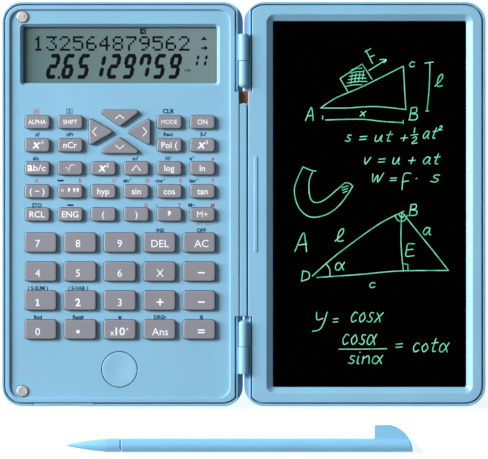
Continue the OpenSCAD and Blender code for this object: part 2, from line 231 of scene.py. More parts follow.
def lip_strips(gap):
    """The lip that shows as a line round the shell, in two strips where the drawer's gap cuts it."""
    outer, inner = half_outline(0, POCKET_X), half_outline(LIP_T, POCKET_WALL_X)
    upper_end = [(POCKET_WALL_X, POCKET_Y), (POCKET_X, POCKET_Y)]
    lower_end = [(POCKET_X, -POCKET_Y), (POCKET_WALL_X, -POCKET_Y)]
    if not gap:
        return [joined(outer) + lower_end + joined(inner)[::-1] + upper_end]
    left = [(gap[0], -HALF_L), (gap[0], -HALF_L + LIP_T)]
    right = [(gap[1], -HALF_L + LIP_T), (gap[1], -HALF_L)]
    return [
        joined(outer[:3]) + left + joined(inner[:3])[::-1] + upper_end,
        right + outer[3] + lower_end + inner[3][::-1],
    ]


def wall_outline(gap):
    """The lower wall as one outline that runs round outside and back inside, open at the gap."""
    full = half_outline(0, -HALF_GAP)
    inner = half_outline(WALL_T, POCKET_WALL_X)
    inner_y = -HALF_L + WALL_T
    outside = [(gap[1], -HALF_L)] + full[3] + joined(full[:3]) + [(gap[0], -HALF_L)]
    inside = [(gap[1], inner_y)] + inner[3] + joined(inner[:3]) + [(gap[0], inner_y)]
    return outside + inside[::-1]


# ---- solids ----

def quarter(steps=4):
    """Angles from 0 up to a right angle."""
    return [math.pi / 2 * k / steps for k in range(steps + 1)]


def rounding(z, r, start=0.0):
    """A profile over an edge at height z: (inset, height) pairs up a quarter circle of radius r."""
    return [(start + r * (1 - math.cos(a)), z - r + r * math.sin(a)) for a in quarter()]


def under_rounding(z, r):
    """The same, for a lower edge at height z, from the underside up to the wall."""
    return [(i, 2 * z - h) for i, h in reversed(rounding(z, r))]


def flare(z, r):
    """A profile up a hole whose top edge is rounded outwards by r."""
    return [(-i, h) for i, h in rounding(z, r)]


def walls(bm, outline, profile):
    """Walls along an outline, up a profile of (inset, height) pairs. Returns the rings of points."""
    rings = []
    for step, z in profile:
        points = inset(outline, step) if step else outline
        rings.append([bm.verts.new((x, y, z)) for x, y in points])
    stitch(bm, rings)
    return rings


def stitch(bm, rings):
    for low, high in zip(rings, rings[1:]):
        for i in range(len(low)):
            j = (i + 1) % len(low)
            bm.faces.new((low[i], low[j], high[j], high[i]))


def cap(bm, *rings):
    """Fills the flat that lies between closed rings."""
    edges = []
    for ring in rings:
        for i, vert in enumerate(ring):
            other = ring[(i + 1) % len(ring)]
            edges.append(bm.edges.get((vert, other)) or bm.edges.new((vert, other)))
    bmesh.ops.triangle_fill(bm, use_beauty=True, use_dissolve=False, edges=edges)


def well(bm, outline, z0, z1):
    """A blind hole that starts at z0 and ends at z1. Returns the ring at its mouth."""
    rings = walls(bm, outline, [(0, z0), (0, z1)])
    cap(bm, rings[-1])
    return rings[0]


def plate(bm, outline, profile, holes=(), floor_rings=()):
    """A solid up the profile, with holes that are (outline, profile) pairs through it."""
    rings = walls(bm, outline, profile)
    inner = [walls(bm, hole, hole_profile) for hole, hole_profile in holes]
    cap(bm, rings[0], *[r[0] for r in inner], *floor_rings)
    cap(bm, rings[-1], *[r[-1] for r in inner])


def cap_ends(bm, rings):
    cap(bm, rings[0])
    cap(bm, rings[-1])


def turned(bm, axis, profile, steps=40):
    """Rings round a line at (distance along, radius) pairs. axis(along, angle, radius) is a point."""
    angles = [math.tau * k / steps for k in range(steps)]
    return [[bm.verts.new(axis(along, angle, r)) for angle in angles] for along, r in profile]


def lathe(bm, axis, profile, steps=40):
    """A closed body turned about a line."""
    rings = turned(bm, axis, profile, steps)
    stitch(bm, rings)
    cap_ends(bm, rings)


def along_y(cx, cz):
    return lambda along, angle, r: (cx + r * math.sin(angle), along, cz + r * math.cos(angle))


def soft_ends(start, end, r, edge):
    """The profile of a straight barrel with both its edges rounded."""
    last = [(edge * (1 - math.sin(a)), r - edge * (1 - math.cos(a))) for a in quarter()]
    return [(start + along, r) for along, r in last[::-1]] + [(end - along, r) for along, r in last]


def flip_x(bm):
    bmesh.ops.scale(bm, vec=(-1, 1, 1), verts=bm.verts)


def placed(name, data):
    """A new object in the scene."""
    obj = bpy.data.objects.new(name, data)
    bpy.context.scene.collection.objects.link(obj)
    return obj


def piece(name, body, bm, material, replaces=(), smooth=32):
    """Closes a mesh drawn in millimetres, puts it in the row frame and lets it ride on its body."""
    bmesh.ops.recalc_face_normals(bm, faces=bm.faces)
    mesh = bpy.data.meshes.new(name)
    bm.to_mesh(mesh)
    bm.free()
    mesh.transform(TO_ROW)
    mesh.polygons.foreach_set("use_smooth", [True] * len(mesh.polygons))
    mesh.set_sharp_from_angle(angle=math.radians(smooth))
    mesh.materials.append(material)
    obj = placed(name, mesh)
    normals = obj.modifiers.new("normals", "WEIGHTED_NORMAL")
    normals.keep_sharp = True
    if body:
        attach(obj, body)
    if replaces:
        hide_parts(*replaces)
    return obj


# ---- materials ----

def srgb(r, g, b):
    """A colour given in 0 to 255 display values, as linear light."""
    def linear(v):
        v /= 255
        return v / 12.92 if v <= 0.04045 else ((v + 0.055) / 1.055) ** 2.4
    return (linear(r), linear(g), linear(b), 1)


def shade(colour, factor):
    return tuple(c * factor for c in colour[:3]) + (1,)


class Shader:
    """A principled material with object coordinates ready for its textures."""

    def __init__(self, name, colour, roughness=0.5, **sockets):
        self.material = bpy.data.materials.new(name)
        self.material.use_nodes = True
        self.tree = self.material.node_tree
        self.bsdf = self.tree.nodes["Principled BSDF"]
        self.bsdf.inputs["Base Color"].default_value = colour
        self.bsdf.inputs["Roughness"].default_value = roughness
        for key, value in sockets.items():
            self.bsdf.inputs[key.replace("_", " ")].default_value = value
        self.coords = self.node("ShaderNodeTexCoord").outputs["Object"]

    def node(self, kind, **values):
        """A new node. A value goes to the input of that name, or else to the property."""
        made = self.tree.nodes.new(kind)
        for key, value in values.items():
            socket = key.replace("_", " ")
            if socket in made.inputs:
                made.inputs[socket].default_value = value
            else:
                setattr(made, key, value)
        return made

    def link(self, source, target):
        self.tree.links.new(source, target)

    def feed(self, socket, source):
        self.link(source, self.bsdf.inputs[socket])

    def noise(self, scale, detail=3.0, stretch=None):
        made = self.node("ShaderNodeTexNoise", Scale=scale, Detail=detail)
        vector = self.coords
        if stretch:
            mapping = self.node("ShaderNodeMapping", Scale=stretch)
            self.link(self.coords, mapping.inputs["Vector"])
            vector = mapping.outputs["Vector"]
        self.link(vector, made.inputs["Vector"])
        return made.outputs["Fac"]

    def tint(self, source, low, high, start=0.3, end=0.7):
        """The base colour goes from low to high as the source goes from start to end."""
        made = self.node("ShaderNodeValToRGB")
        for element, position, colour in zip(made.color_ramp.elements, (start, end), (low, high)):
            element.position = position
            element.color = colour
        self.link(source, made.inputs["Fac"])
        self.feed("Base Color", made.outputs["Color"])
        return made.outputs["Color"]

    def gloss(self, source, low, high):
        """The roughness goes from low to high with a texture."""
        made = self.node("ShaderNodeMapRange", From_Min=0.3, From_Max=0.7, To_Min=low, To_Max=high)
        self.link(source, made.inputs["Value"])
        self.feed("Roughness", made.outputs["Result"])

    def bump(self, source, distance):
        made = self.node("ShaderNodeBump", Distance=distance, Strength=1.0)
        self.link(source, made.inputs["Height"])
        self.feed("Normal", made.outputs["Normal"])


def moulded(name, colour, roughness=0.42, grain=0.000018, variation=0.035):
    """Satin moulded plastic: a fine spark-eroded grain, slight clouding and uneven gloss."""
    s = Shader(name, colour, roughness)
    s.tint(s.noise(35, 2), shade(colour, 1 - variation), shade(colour, 1 + variation))
    s.gloss(s.noise(420), roughness - 0.05, roughness + 0.05)
    s.bump(s.noise(5200, 2), grain)
    return s.material


def printed(name, colour, specular=0.5):
    """Pad-printed ink, a little uneven in tone."""
    s = Shader(name, colour, 0.45, Specular_IOR_Level=specular)
    s.tint(s.noise(900), shade(colour, 0.93), colour)
    s.bump(s.noise(4000, 2), 0.000006)
    return s.material


def metal(name, colour, roughness=0.25, stretch=(1, 1, 1), scale=900):
    """Plated or drawn metal with fine marks along one direction."""
    s = Shader(name, colour, roughness, Metallic=1.0)
    marks = s.noise(scale, 4, stretch)
    s.gloss(marks, roughness - 0.07, roughness + 0.08)
    s.tint(marks, shade(colour, 0.9), colour)
    s.bump(marks, 0.000004)
    return s.material


def rubber(name, colour):
    s = Shader(name, colour, 0.75)
    s.tint(s.noise(120), shade(colour, 0.85), shade(colour, 1.15))
    s.bump(s.noise(2600), 0.00003)
    return s.material


def display_glass():
    """The reflective liquid crystal panel: grey-green, with painted shade: darker to the left, where the
    window's wall shades it, and lighter to the right.
    """
    # painted shade: the panel's colour runs from a shaded, darker left to a lit, lighter right
    left, right = srgb(92, 118, 119), srgb(116, 137, 138)
    s = Shader("display_panel", left, 0.5, Specular_IOR_Level=0.15)
    axes = s.node("ShaderNodeSeparateXYZ")
    s.link(s.coords, axes.inputs["Vector"])
    across = s.node("ShaderNodeMapRange", From_Min=LENS.x[0] * MM, From_Max=LENS.x[1] * MM)
    s.link(axes.outputs["X"], across.inputs["Value"])
    # painted shade and light: this ramp across the panel stands in for the wall's shadow and the
    # reflection
    s.tint(across.outputs["Result"], left, right, 0.0, 1.0)
    s.bump(s.noise(3000, 2), 0.000003)
    return s.material


def clear_lens():
    s = Shader("clear_acrylic", (0.12, 0.15, 0.15, 1), 0.08, Alpha=0.03)
    s.gloss(s.noise(160, 2), 0.06, 0.12)
    s.bump(s.noise(300, 2), 0.000001)
    return s.material


def writing_film():
    """Near-black cholesteric film: satin gloss with a very faint pressure texture."""
    colour = (0.0003, 0.0003, 0.0003, 1)
    s = Shader("writing_film", colour, 0.3, Specular_IOR_Level=0.006)
    s.gloss(s.noise(140), 0.26, 0.36)
    s.tint(s.noise(700, 4), shade(colour, 0.7), shade(colour, 1.6), 0.35)
    s.bump(s.noise(2400, 2), 0.000003)
    return s.material


def pressed_stroke():
    """Where the stylus has pressed, the film reflects pale green, stronger along some stretches; the
    same green is also given out as a faint painted glow.
    """
    # painted glow: a weak emission makes the strokes shine on their own
    s = Shader("pressed_stroke", srgb(80, 215, 160), 0.45, Emission_Strength=0.3)
    green = s.tint(s.noise(260), srgb(60, 195, 145), srgb(145, 238, 205), 0.32, 0.68)
    # painted glow: the stroke green also feeds the emission colour
    s.feed("Emission Color", green)
    return s.material


def circuit(name, colour):
    """Solder resist over copper tracks."""
    s = Shader(name, colour, 0.35)
    tracks = s.node("ShaderNodeTexBrick", Scale=420.0, Color1=shade(colour, 1.5),
                    Color2=shade(colour, 0.9), Mortar=shade(colour, 0.5))
    s.link(s.coords, tracks.inputs["Vector"])
    s.feed("Base Color", tracks.outputs["Color"])
    s.bump(tracks.outputs["Fac"], 0.00002)
    return s.material


def polyimide():
    """The amber-brown flexible printed ribbon with its conductors running across the hinge."""
    s = Shader("flex_ribbon", srgb(140, 78, 34), 0.32)
    waves = s.node("ShaderNodeTexWave", Scale=500.0, Distortion=0.0, bands_direction="Y")
    s.link(s.coords, waves.inputs["Vector"])
    s.tint(waves.outputs["Fac"], srgb(128, 68, 28), srgb(160, 92, 42), 0.35, 0.65)
    s.bump(waves.outputs["Fac"], 0.00001)
    return s.material


PLASTIC = moulded("sky_blue_plastic", srgb(134, 186, 215), 0.36)
STYLUS_PLASTIC = moulded("stylus_plastic", srgb(132, 192, 228), 0.34)
KEY_PLASTIC = moulded("grey_key_plastic", srgb(138, 138, 147), 0.36, 0.00001)
BUTTON_PLASTIC = moulded("button_plastic", srgb(138, 190, 218), 0.36)
WHITE_INK = printed("white_ink", srgb(245, 247, 250))
NAVY_INK = printed("navy_ink", srgb(6, 42, 74))
RED_INK = printed("red_ink", srgb(190, 88, 98))
SEGMENT_INK = printed("display_segments", srgb(5, 8, 11), 0.05)
STROKE = pressed_stroke()
NICKEL = metal("nickel_plate", srgb(235, 230, 230), 0.5, (1, 1, 1), 700)
STEEL = metal("zinc_steel", srgb(172, 174, 180), 0.32, (1, 1, 6))
BRASS = metal("gold_contact", srgb(214, 176, 96), 0.28, (1, 8, 1))
CELL_STEEL = metal("cell_steel", srgb(190, 192, 196), 0.3, (1, 12, 1))
FOOT_RUBBER = rubber("foot_rubber", srgb(92, 112, 126))
SILICONE = rubber("key_silicone", srgb(228, 228, 224))
BOARD_GREEN = circuit("circuit_board", srgb(28, 92, 60))
POLYIMIDE = polyimide()
CARD = moulded("backing_board", srgb(190, 178, 150), 0.7, 0.00003, 0.06)

KEPT_NODES = {
    "display_lens": clear_lens(), "display_panel": display_glass(), "writing_panel": writing_film(),
    "key_membrane": SILICONE, "circuit_board": BOARD_GREEN, "battery_contacts": BRASS,
    "calculator_screws": STEEL, "hinge_pins": STEEL, "backing_board": CARD, "keeper_plates": STEEL,
    "tablet_screws": STEEL,
}


def dress_kept_nodes():
    """CAD nodes whose shape is right keep it and get their material."""
    for name, material in KEPT_NODES.items():
        mesh = frame["nodes"][name].data
        mesh.materials.clear()
        mesh.materials.append(material)


# ---- the two case halves ----

SCREWS = {
    "calculator": [(-75, 77.6), (-26, 77.6), (-93.5, 43), (-93.5, -50), (-7.2, 30), (-7.2, -56)],
    "tablet": [(-24, 78.3), (-80, 78.3), (-24, -78.3), (-80, -78.3), (-6.6, 30), (-6.6, -30)],
}
SCREW_WELL_R = 1.9
SCREW_WELL_T = 0.6
FEET = [(-x, y) for x in (15, 88) for y in (-72, 72)]
FOOT_R = 4.0
FOOT_WELL_T = 0.4


def tray(bm, screws, gap):
    """The back cover: floor, wall and the lip that stands round the upper shell."""
    full = joined(half_outline(0, -HALF_GAP))
    wells = [well(bm, circle(x, y, SCREW_WELL_R, 24), BASE_Z, BASE_Z + SCREW_WELL_T) for x, y in screws]
    wells += [well(bm, circle(x, y, FOOT_R + 0.1), BASE_Z, BASE_Z + FOOT_WELL_T) for x, y in FEET]
    plate(bm, full, under_rounding(BASE_Z, 0.9) + [(0, FLOOR_Z)], floor_rings=wells)
    if gap:
        plate(bm, wall_outline(gap), [(0, FLOOR_Z), (0, UNDER_Z)])
    else:
        inner = joined(half_outline(WALL_T, POCKET_WALL_X))
        plate(bm, full, [(0, FLOOR_Z), (0, UNDER_Z)], [(inner, [(0, FLOOR_Z), (0, UNDER_Z)])])
    for strip in lip_strips(gap):
        plate(bm, strip, [(0, UNDER_Z)] + rounding(LIP_Z, 0.28))


def both_ends(build, bm):
    """Draws something at the +y end and its mirror image at the -y end."""
    for side in (1, -1):
        part = bmesh.new()
        build(part)
        bmesh.ops.scale(part, vec=(1, side, 1), verts=part.verts)
        mesh = bpy.data.meshes.new("part")
        part.to_mesh(mesh)
        part.free()
        bm.from_mesh(mesh)
        bpy.data.meshes.remove(mesh)


def web(bm, y):
    outline = rounded_box((-2.6, -HALF_GAP), y, 0.25, 3)
    plate(bm, outline, [(0, UNDER_Z)] + rounding(LIP_Z, 0.2))


def outer_knuckle(bm):
    """A barrel with the pin's bore through it, on its web."""
    start, end = OUTER_KNUCKLE_Y
    profile = [(start, PIN_R)] + soft_ends(start, end, BARREL_R, KNUCKLE_EDGE) + [(end, PIN_R)]
    rings = turned(bm, along_y(0, AXIS_Z), profile)
    stitch(bm, rings + rings[:1])
    web(bm, (start, end))


def inner_knuckle(bm):
    """A barrel whose inner end is a dome."""
    start, end = INNER_KNUCKLE_Y
    dome = 1.6
    profile = [(start + dome * (1 - math.sin(a)), max(0.05, BARREL_R * math.cos(a))) for a in quarter(6)]
    lathe(bm, along_y(0, AXIS_Z), profile[::-1] + soft_ends(end - 1, end, BARREL_R, KNUCKLE_EDGE)[5:])
    web(bm, (start + 0.8, end))


def calculator_tray():
    gap = (DRAWER.x[0] - 0.15, DRAWER.x[1] + 0.15)
    bm = bmesh.new()
    tray(bm, SCREWS["calculator"], gap)
    both_ends(outer_knuckle, bm)
    piece("calculator_tray", "calculator", bm, PLASTIC, ["calculator_back_cover"])


def tablet_tray():
    bm = bmesh.new()
    tray(bm, SCREWS["tablet"], None)
    both_ends(inner_knuckle, bm)
    flip_x(bm)
    piece("tablet_tray", "tablet", bm, PLASTIC, ["tablet_back_cover"])


def slope(low_z, high_z, width):
    """The profile of a window's slope, from near its foot to its softened upper edge."""
    return [
        (-0.93 * width, low_z + 0.89 * (high_z - low_z)), (-0.98 * width, high_z - 0.05),
        (-1.03 * width, high_z - 0.012), (-1.1 * width, high_z),
    ]


ARROW_R = 0.95
ARROW_TRIANGLES = {
    "key_up": [(6.65, 8.05), (-6.65, 8.05), (0, 3.15)],
    "key_down": [(-6.65, -8.05), (6.65, -8.05), (0, -3.2)],
    "key_left": [(-11.75, 4.35), (-11.75, -4.35), (-4.05, 0)],
    "key_right": [(11.7, -4.35), (11.7, 4.35), (4.3, 0)],
}


def pad_centre():
    up, left, right = Box("key_up"), Box("key_left"), Box("key_right")
    margin = ARROW_R + KEY_FLANGE
    x = left.x[0] + margin + 11.75
    y = up.y[1] - margin - 8.05
    return x, y


PAD = pad_centre()


def row_centres(node):
    box = Box(node)
    first = box.x[0] + KEY_FLANGE + FUNCTION_SIZE[0] / 2
    last = box.x[1] - KEY_FLANGE - FUNCTION_SIZE[0] / 2
    return [(first + (last - first) * k / 5, box.centre.y) for k in range(6)]


def cap_outlines(node, grow=0.0):
    """The outlines of the caps in one key node."""
    if node in ARROW_TRIANGLES:
        corners = [(PAD[0] + x, PAD[1] + y) for x, y in ARROW_TRIANGLES[node]]
        return [rounded_triangle(corners, ARROW_R + grow)]
    if node in dict(KEY_ROWS):
        return [centred_box(centre, FUNCTION_SIZE, KEY_R, grow) for centre in row_centres(node)]
    box = Box(node)
    size = (box.size.x - 2 * KEY_FLANGE, box.size.y - 2 * KEY_FLANGE)
    return [centred_box(box.centre, size, KEY_R, grow)]


KEY_NODES = [node for node, _ in DIGIT_KEYS + UPPER_KEYS + KEY_ROWS] + list(ARROW_TRIANGLES)


def calculator_face():
    """The upper shell: a raised rim round a sunk face with the key holes and the display window."""
    bm = bmesh.new()
    outer = walls(bm, shell_outline(), [(0, UNDER_Z)] + rounding(RIM_Z, RIM_EDGE))
    step = SHELL_INSET + RIM_W
    recess_x = (-HALF_W + step, -HALF_GAP - step - 2)
    recess = rounded_box(recess_x, (-HALF_L + step, HALF_L - step), CORNER_R - step)
    foot = [(0, FACE_Z + 0.25), (0.06, FACE_Z + 0.09), (0.25, FACE_Z)]
    inner = walls(bm, recess, flare(RIM_Z, 0.3)[::-1] + foot)
    cap(bm, outer[-1], inner[0])
    hole = [(0, UNDER_Z)] + flare(FACE_Z, 0.08)
    rings = [walls(bm, outline, hole) for node in KEY_NODES for outline in cap_outlines(node, KEY_GAP)]
    button = circle(BUTTON.centre.x, BUTTON.centre.y, BUTTON_R + BUTTON_GAP, 72)
    rings.append(walls(bm, button, [(0, UNDER_Z)] + flare(FACE_Z, 0.2)))
    for x, y in MAGNET_PLACES:
        magnet = circle(x, y, MAGNET_R + MAGNET_GAP)
        rings.append(walls(bm, magnet, [(0, UNDER_Z)] + flare(FACE_Z, 0.15)))
    window = centred_box(LENS.centre, (LENS.size.x - 2 * LENS_LIP, LENS.size.y - 2 * LENS_LIP), WINDOW_R)
    bevel = [(0, UNDER_Z), (0, UNDER_Z + 0.1)] + slope(UNDER_Z, FACE_Z, DISPLAY_BEVEL)
    rings.append(walls(bm, window, bevel))
    cap(bm, inner[-1], *[r[-1] for r in rings])
    cap(bm, outer[0], *[r[0] for r in rings])
    piece("calculator_face_shell", "calculator", bm, PLASTIC, ["calculator_face"])


def tablet_frame():
    """The frame round the writing panel: an undercut for the film, and a wide slope down to it."""
    bm = bmesh.new()
    size = (FILM.size.x - 2 * FILM_LIP, FILM.size.y - 2 * FILM_LIP)
    window = centred_box(FILM.centre + WINDOW_SHIFT, size, WINDOW_R)
    film_z, lip = FILM.z[1], FILM_LIP - 0.25
    profile = [(-lip, UNDER_Z), (-lip, film_z), (0, film_z), (-0.05, film_z + 0.12)]
    profile += slope(film_z, RIM_Z, WRITING_BEVEL)
    plate(bm, mirrored(shell_outline()), [(0, UNDER_Z)] + rounding(RIM_Z, RIM_EDGE), [(window, profile)])
    rib = centred_box((4.96, -0.15), (1.5, 39.3), 0.7)
    plate(bm, rib, [(0, RIM_Z - 0.2)] + rounding(RIM_Z + 0.3, 0.28))
    piece("tablet_face_frame", "tablet", bm, PLASTIC, ["tablet_frame"])


# ---- keys ----

def key_caps():
    """Caps with a hidden flange, drafted sides and a rounded top edge."""
    profile = [(-KEY_FLANGE, KEY.z[0]), (-KEY_FLANGE, KEY_SEAT_Z), (0, KEY_SEAT_Z), (0, FACE_Z)]
    profile += rounding(KEY.z[1], 0.5, 0.1)
    for node in KEY_NODES:
        bm = bmesh.new()
        for outline in cap_outlines(node):
            plate(bm, outline, profile)
        piece("cap_" + node, node, bm, KEY_PLASTIC, [node])


def erase_button():
    """A flush round button, dished towards its middle."""
    x, y, top = BUTTON.centre.x, BUTTON.centre.y, BUTTON.z[1]
    flange = 0.7
    profile = [(-flange, BUTTON.z[0]), (-flange, KEY_SEAT_Z), (0, KEY_SEAT_Z)] + rounding(top, 0.3)
    profile += [(1.2, top - 0.02), (2.6, top - 0.12), (4.4, top - 0.24), (6, top - 0.3)]
    bm = bmesh.new()
    lathe(bm, lambda z, angle, r: (x + r * math.cos(angle), y + r * math.sin(angle), z),
          [(z, BUTTON_R - i) for i, z in profile], 72)
    piece("erase_button_cap", "erase_button", bm, BUTTON_PLASTIC, ["erase_button"])


# ---- magnets, feet, drawer, cell, spine cover, ribbon ----

MAGNET_R = MAGNETS.size.x / 2
MAGNET_GAP = 0.16
MAGNET_PLACES = [(MAGNETS.centre.x, y) for y in (MAGNETS.y[0] + MAGNET_R, MAGNETS.y[1] - MAGNET_R)]


def disc(bm, x, y, r, z, edge, under=0.1):
    plate(bm, circle(x, y, r), under_rounding(z[0], under) + rounding(z[1], edge))


def closing_magnets():
    bm = bmesh.new()
    for x, y in MAGNET_PLACES:
        disc(bm, x, y, MAGNET_R, MAGNETS.z, 0.3)
    piece("magnet_discs", "calculator", bm, NICKEL, ["closing_magnets"])


def feet():
    for body, side in (("calculator", 1), ("tablet", -1)):
        bm = bmesh.new()
        box = Box(body + "_feet")
        for x, y in FEET:
            disc(bm, x * side, y, FOOT_R, box.z, 0.05, 0.3)
        piece(body + "_foot_pads", body, bm, FOOT_RUBBER, [body + "_feet"])


def battery_drawer():
    """The cell's holder with its front, which has a shallow notch for a finger nail."""
    notch = (-79.7, -67.2)
    depth, ease = 0.5, 0.35
    notch_z = BASE_Z + 2
    shelf_z = 3.0
    x, y = DRAWER.x, DRAWER.y[0]
    back = y + 1.2
    bm = bmesh.new()
    plain = [(x[0], y), (x[1], y), (x[1], back), (x[0], back)]
    cut = [
        (x[0], y), (notch[0], y), (notch[0] + ease, y + depth), (notch[1] - ease, y + depth),
        (notch[1], y), (x[1], y), (x[1], back), (x[0], back),
    ]
    plate(bm, plain, under_rounding(DRAWER.z[0], 0.2) + [(0, notch_z)])
    plate(bm, cut, [(0, notch_z)] + rounding(DRAWER.z[1], 0.22))
    left, right, rear = x[0] + 0.1, x[1] - 0.1, DRAWER.y[1]
    r = CELL.size.x / 2 + 0.1
    slot = (-72.5, -70.1)
    angles = [math.degrees(math.acos((sx - CELL.centre.x) / r)) for sx in slot]
    bowl = arc(CELL.centre.x, CELL.centre.y, r, angles[1], angles[0] - 360, 48)
    plan = [(left, back), (right, back), (right, rear), (slot[1], rear)]
    plan += bowl + [(slot[0], rear), (left, rear)]
    plate(bm, plan, [(0, shelf_z)] + rounding(CELL.z[1], 0.15))
    floor = rounded_box((left, right), (back, rear), 0.2, 2)
    pocket = well(bm, circle(CELL.centre.x, CELL.centre.y, r), shelf_z, CELL.z[0])
    rings = walls(bm, floor, under_rounding(DRAWER.z[0], 0.15) + [(0, shelf_z)])
    cap(bm, rings[0])
    cap(bm, rings[-1], pocket)
    piece("drawer_moulding", "battery_drawer", bm, PLASTIC, ["battery_drawer"])


def coin_cell():
    """A lithium coin: a can with a rolled edge, and a smaller raised cap on top."""
    x, y = CELL.centre.x, CELL.centre.y
    r = CELL.size.x / 2
    bm = bmesh.new()
    disc(bm, x, y, r, (CELL.z[0], CELL.z[1] - 0.4), 0.3, 0.25)
    disc(bm, x, y, r - 1, (CELL.z[1] - 0.5, CELL.z[1]), 0.15, 0.02)
    piece("coin_cell_can", "battery_drawer", bm, CELL_STEEL, ["coin_cell"])


def spine_cover():
    """The strip that hides the gap between the halves, with its leg down to the cover."""
    bm = bmesh.new()
    leg_t = 1.2
    low_z, top_z = AXIS_Z - 2.25, RIM_Z - 0.2
    plate(bm, rounded_box(SPINE.x, SPINE.y, 0.2, 3), under_rounding(low_z, 0.1) + rounding(top_z, 0.3))
    leg = rounded_box((SPINE.x[0], SPINE.x[0] + leg_t), SPINE.y, 0.1, 2)
    plate(bm, leg, [(0, SPINE.z[0]), (0, low_z + 0.05)])
    piece("spine_strip", "calculator", bm, PLASTIC, ["spine_cover"])


def flex_ribbon():
    """A thin printed ribbon from the circuit board into the tablet, raised a little where it crosses the
    hinge.
    """
    bm = bmesh.new()
    steps = 48
    thin, rise, extra_width = 0.1, 0.16, 0.9
    rings = []
    y0, y1 = RIBBON.y[0], RIBBON.y[1] + extra_width
    for k in range(steps + 1):
        x = RIBBON.x[0] + RIBBON.size.x * k / steps
        top = RIBBON.z[1] + rise * min(1.0, max(0.0, 3.4 - abs(x)))
        low = top - thin
        rings.append([bm.verts.new(p) for p in (
            (x, y0, low), (x, y1, low), (x, y1, top), (x, y0, top))])
    stitch(bm, rings)
    cap_ends(bm, rings)
    drop = rounded_box((RIBBON.x[0], RIBBON.x[0] + 0.12), RIBBON.y, 0.02, 1)
    plate(bm, drop, [(0, RIBBON.z[0]), (0, RIBBON.z[1] - 0.06)])
    ribbon = piece("printed_ribbon", None, bm, POLYIMIDE, ["flex_ribbon"])
    low, high = (TO_ROW @ Vector((x, 0, RIBBON.z[1])) for x in (-2.4, 2.4))
    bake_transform(ribbon)


# ---- stylus ----

STYLUS_Y = TIP.centre.y
STYLUS_Z = TIP.centre.z
STYLUS_R = TIP.size.z / 2
PEG_R = 1.8
END_CENTRE_X = 57.0
END_R = BARREL.x[1] - END_CENTRE_X
END_CENTRE_Y = STYLUS_Y - 3.7
FLAG_X = 53.7


def end_x(y, margin=0.0):
    """Where the stylus's end lies at y: its outline there is an arc."""
    return END_CENTRE_X + math.sqrt((END_R - margin) ** 2 - (y - END_CENTRE_Y) ** 2)


def around_x(along, angle, r):
    return along, STYLUS_Y + r * math.cos(angle), STYLUS_Z + r * math.sin(angle)


def stylus_tip():
    """The front part: a soft point, a straight cone and a short cylinder up to the joint."""
    point_r, bulge, cone_steps = 0.6, 0.10, 12
    start, joint = TIP.x[0], BARREL.x[0]
    cone = joint - 5.5 - start - point_r
    point = [(point_r * (1 - math.cos(a)), point_r * math.sin(a)) for a in quarter(5)]
    profile = [(start + along, max(0.03, r)) for along, r in point]
    for k in range(1, cone_steps + 1):
        t = k / cone_steps
        eased = min(1.0, t + bulge * math.sin(math.pi * t))
        profile.append((start + point_r + cone * t, point_r + (STYLUS_R - point_r) * eased))
    profile += [(joint - 0.5, STYLUS_R), (joint - 0.4, STYLUS_R - 0.08), (joint, STYLUS_R - 0.5)]
    profile += [(joint, PEG_R), (joint + 6, PEG_R)]
    bm = bmesh.new()
    lathe(bm, around_x, profile)
    piece("stylus_point", "stylus", bm, STYLUS_PLASTIC, ["stylus_tip"])


def stylus_barrel():
    """The long barrel, cut round at its end, with a flat flag along one side of it."""
    joint = BARREL.x[0]
    socket_r = PEG_R + 0.05
    edge = 0.5
    bm = bmesh.new()
    rings = turned(bm, around_x, [
        (joint + 6.2, socket_r), (joint, socket_r), (joint, STYLUS_R - 0.5),
        (joint + 0.4, STYLUS_R - 0.08), (joint + 0.5, STYLUS_R), (0, STYLUS_R), (FLAG_X, STYLUS_R),
    ])
    end = [(STYLUS_R - edge * (1 - math.cos(a)), edge * (1 - math.sin(a))) for a in quarter(6)]
    for r, margin in end + [(1.6, 0), (0.8, 0), (0.05, 0)]:
        ring = []
        for k in range(len(rings[0])):
            _, y, z = around_x(0, math.tau * k / len(rings[0]), r)
            ring.append(bm.verts.new((end_x(y, margin), y, z)))
        rings.append(ring)
    stitch(bm, rings)
    cap_ends(bm, rings)
    flag_top = BARREL.y[1]
    half_t, corner_r = 1.0, 0.6
    turn = [math.degrees(math.asin((y - END_CENTRE_Y) / END_R)) for y in (STYLUS_Y, flag_top)]
    plan = [(FLAG_X, STYLUS_Y)] + arc(END_CENTRE_X, END_CENTRE_Y, END_R - 0.03, turn[0], turn[1], 16)
    plan += arc(FLAG_X + corner_r, flag_top - corner_r, corner_r, 90, 180, 5)
    plate(bm, plan, under_rounding(STYLUS_Z - half_t, 0.35) + rounding(STYLUS_Z + half_t, 0.35))
    piece("stylus_body", "stylus", bm, STYLUS_PLASTIC, ["stylus_barrel"])


# ---- printed legends ----

def text_mesh(string, bold=0.0):
    """A string's outline as a mesh, one unit high for its em."""
    data = bpy.data.curves.new("legend", "FONT")
    data.body = string
    data.offset = bold
    data.resolution_u = 3
    holder = placed("legend", data)
    bpy.context.view_layer.update()
    mesh = bpy.data.meshes.new_from_object(holder.evaluated_get(bpy.context.evaluated_depsgraph_get()))
    bpy.data.objects.remove(holder)
    bpy.data.curves.remove(data)
    return mesh


CAP_HEIGHT = 0.682
RAISED_SIZE = 0.58
RAISED_BY = 0.42
RUN_GAP = 0.07


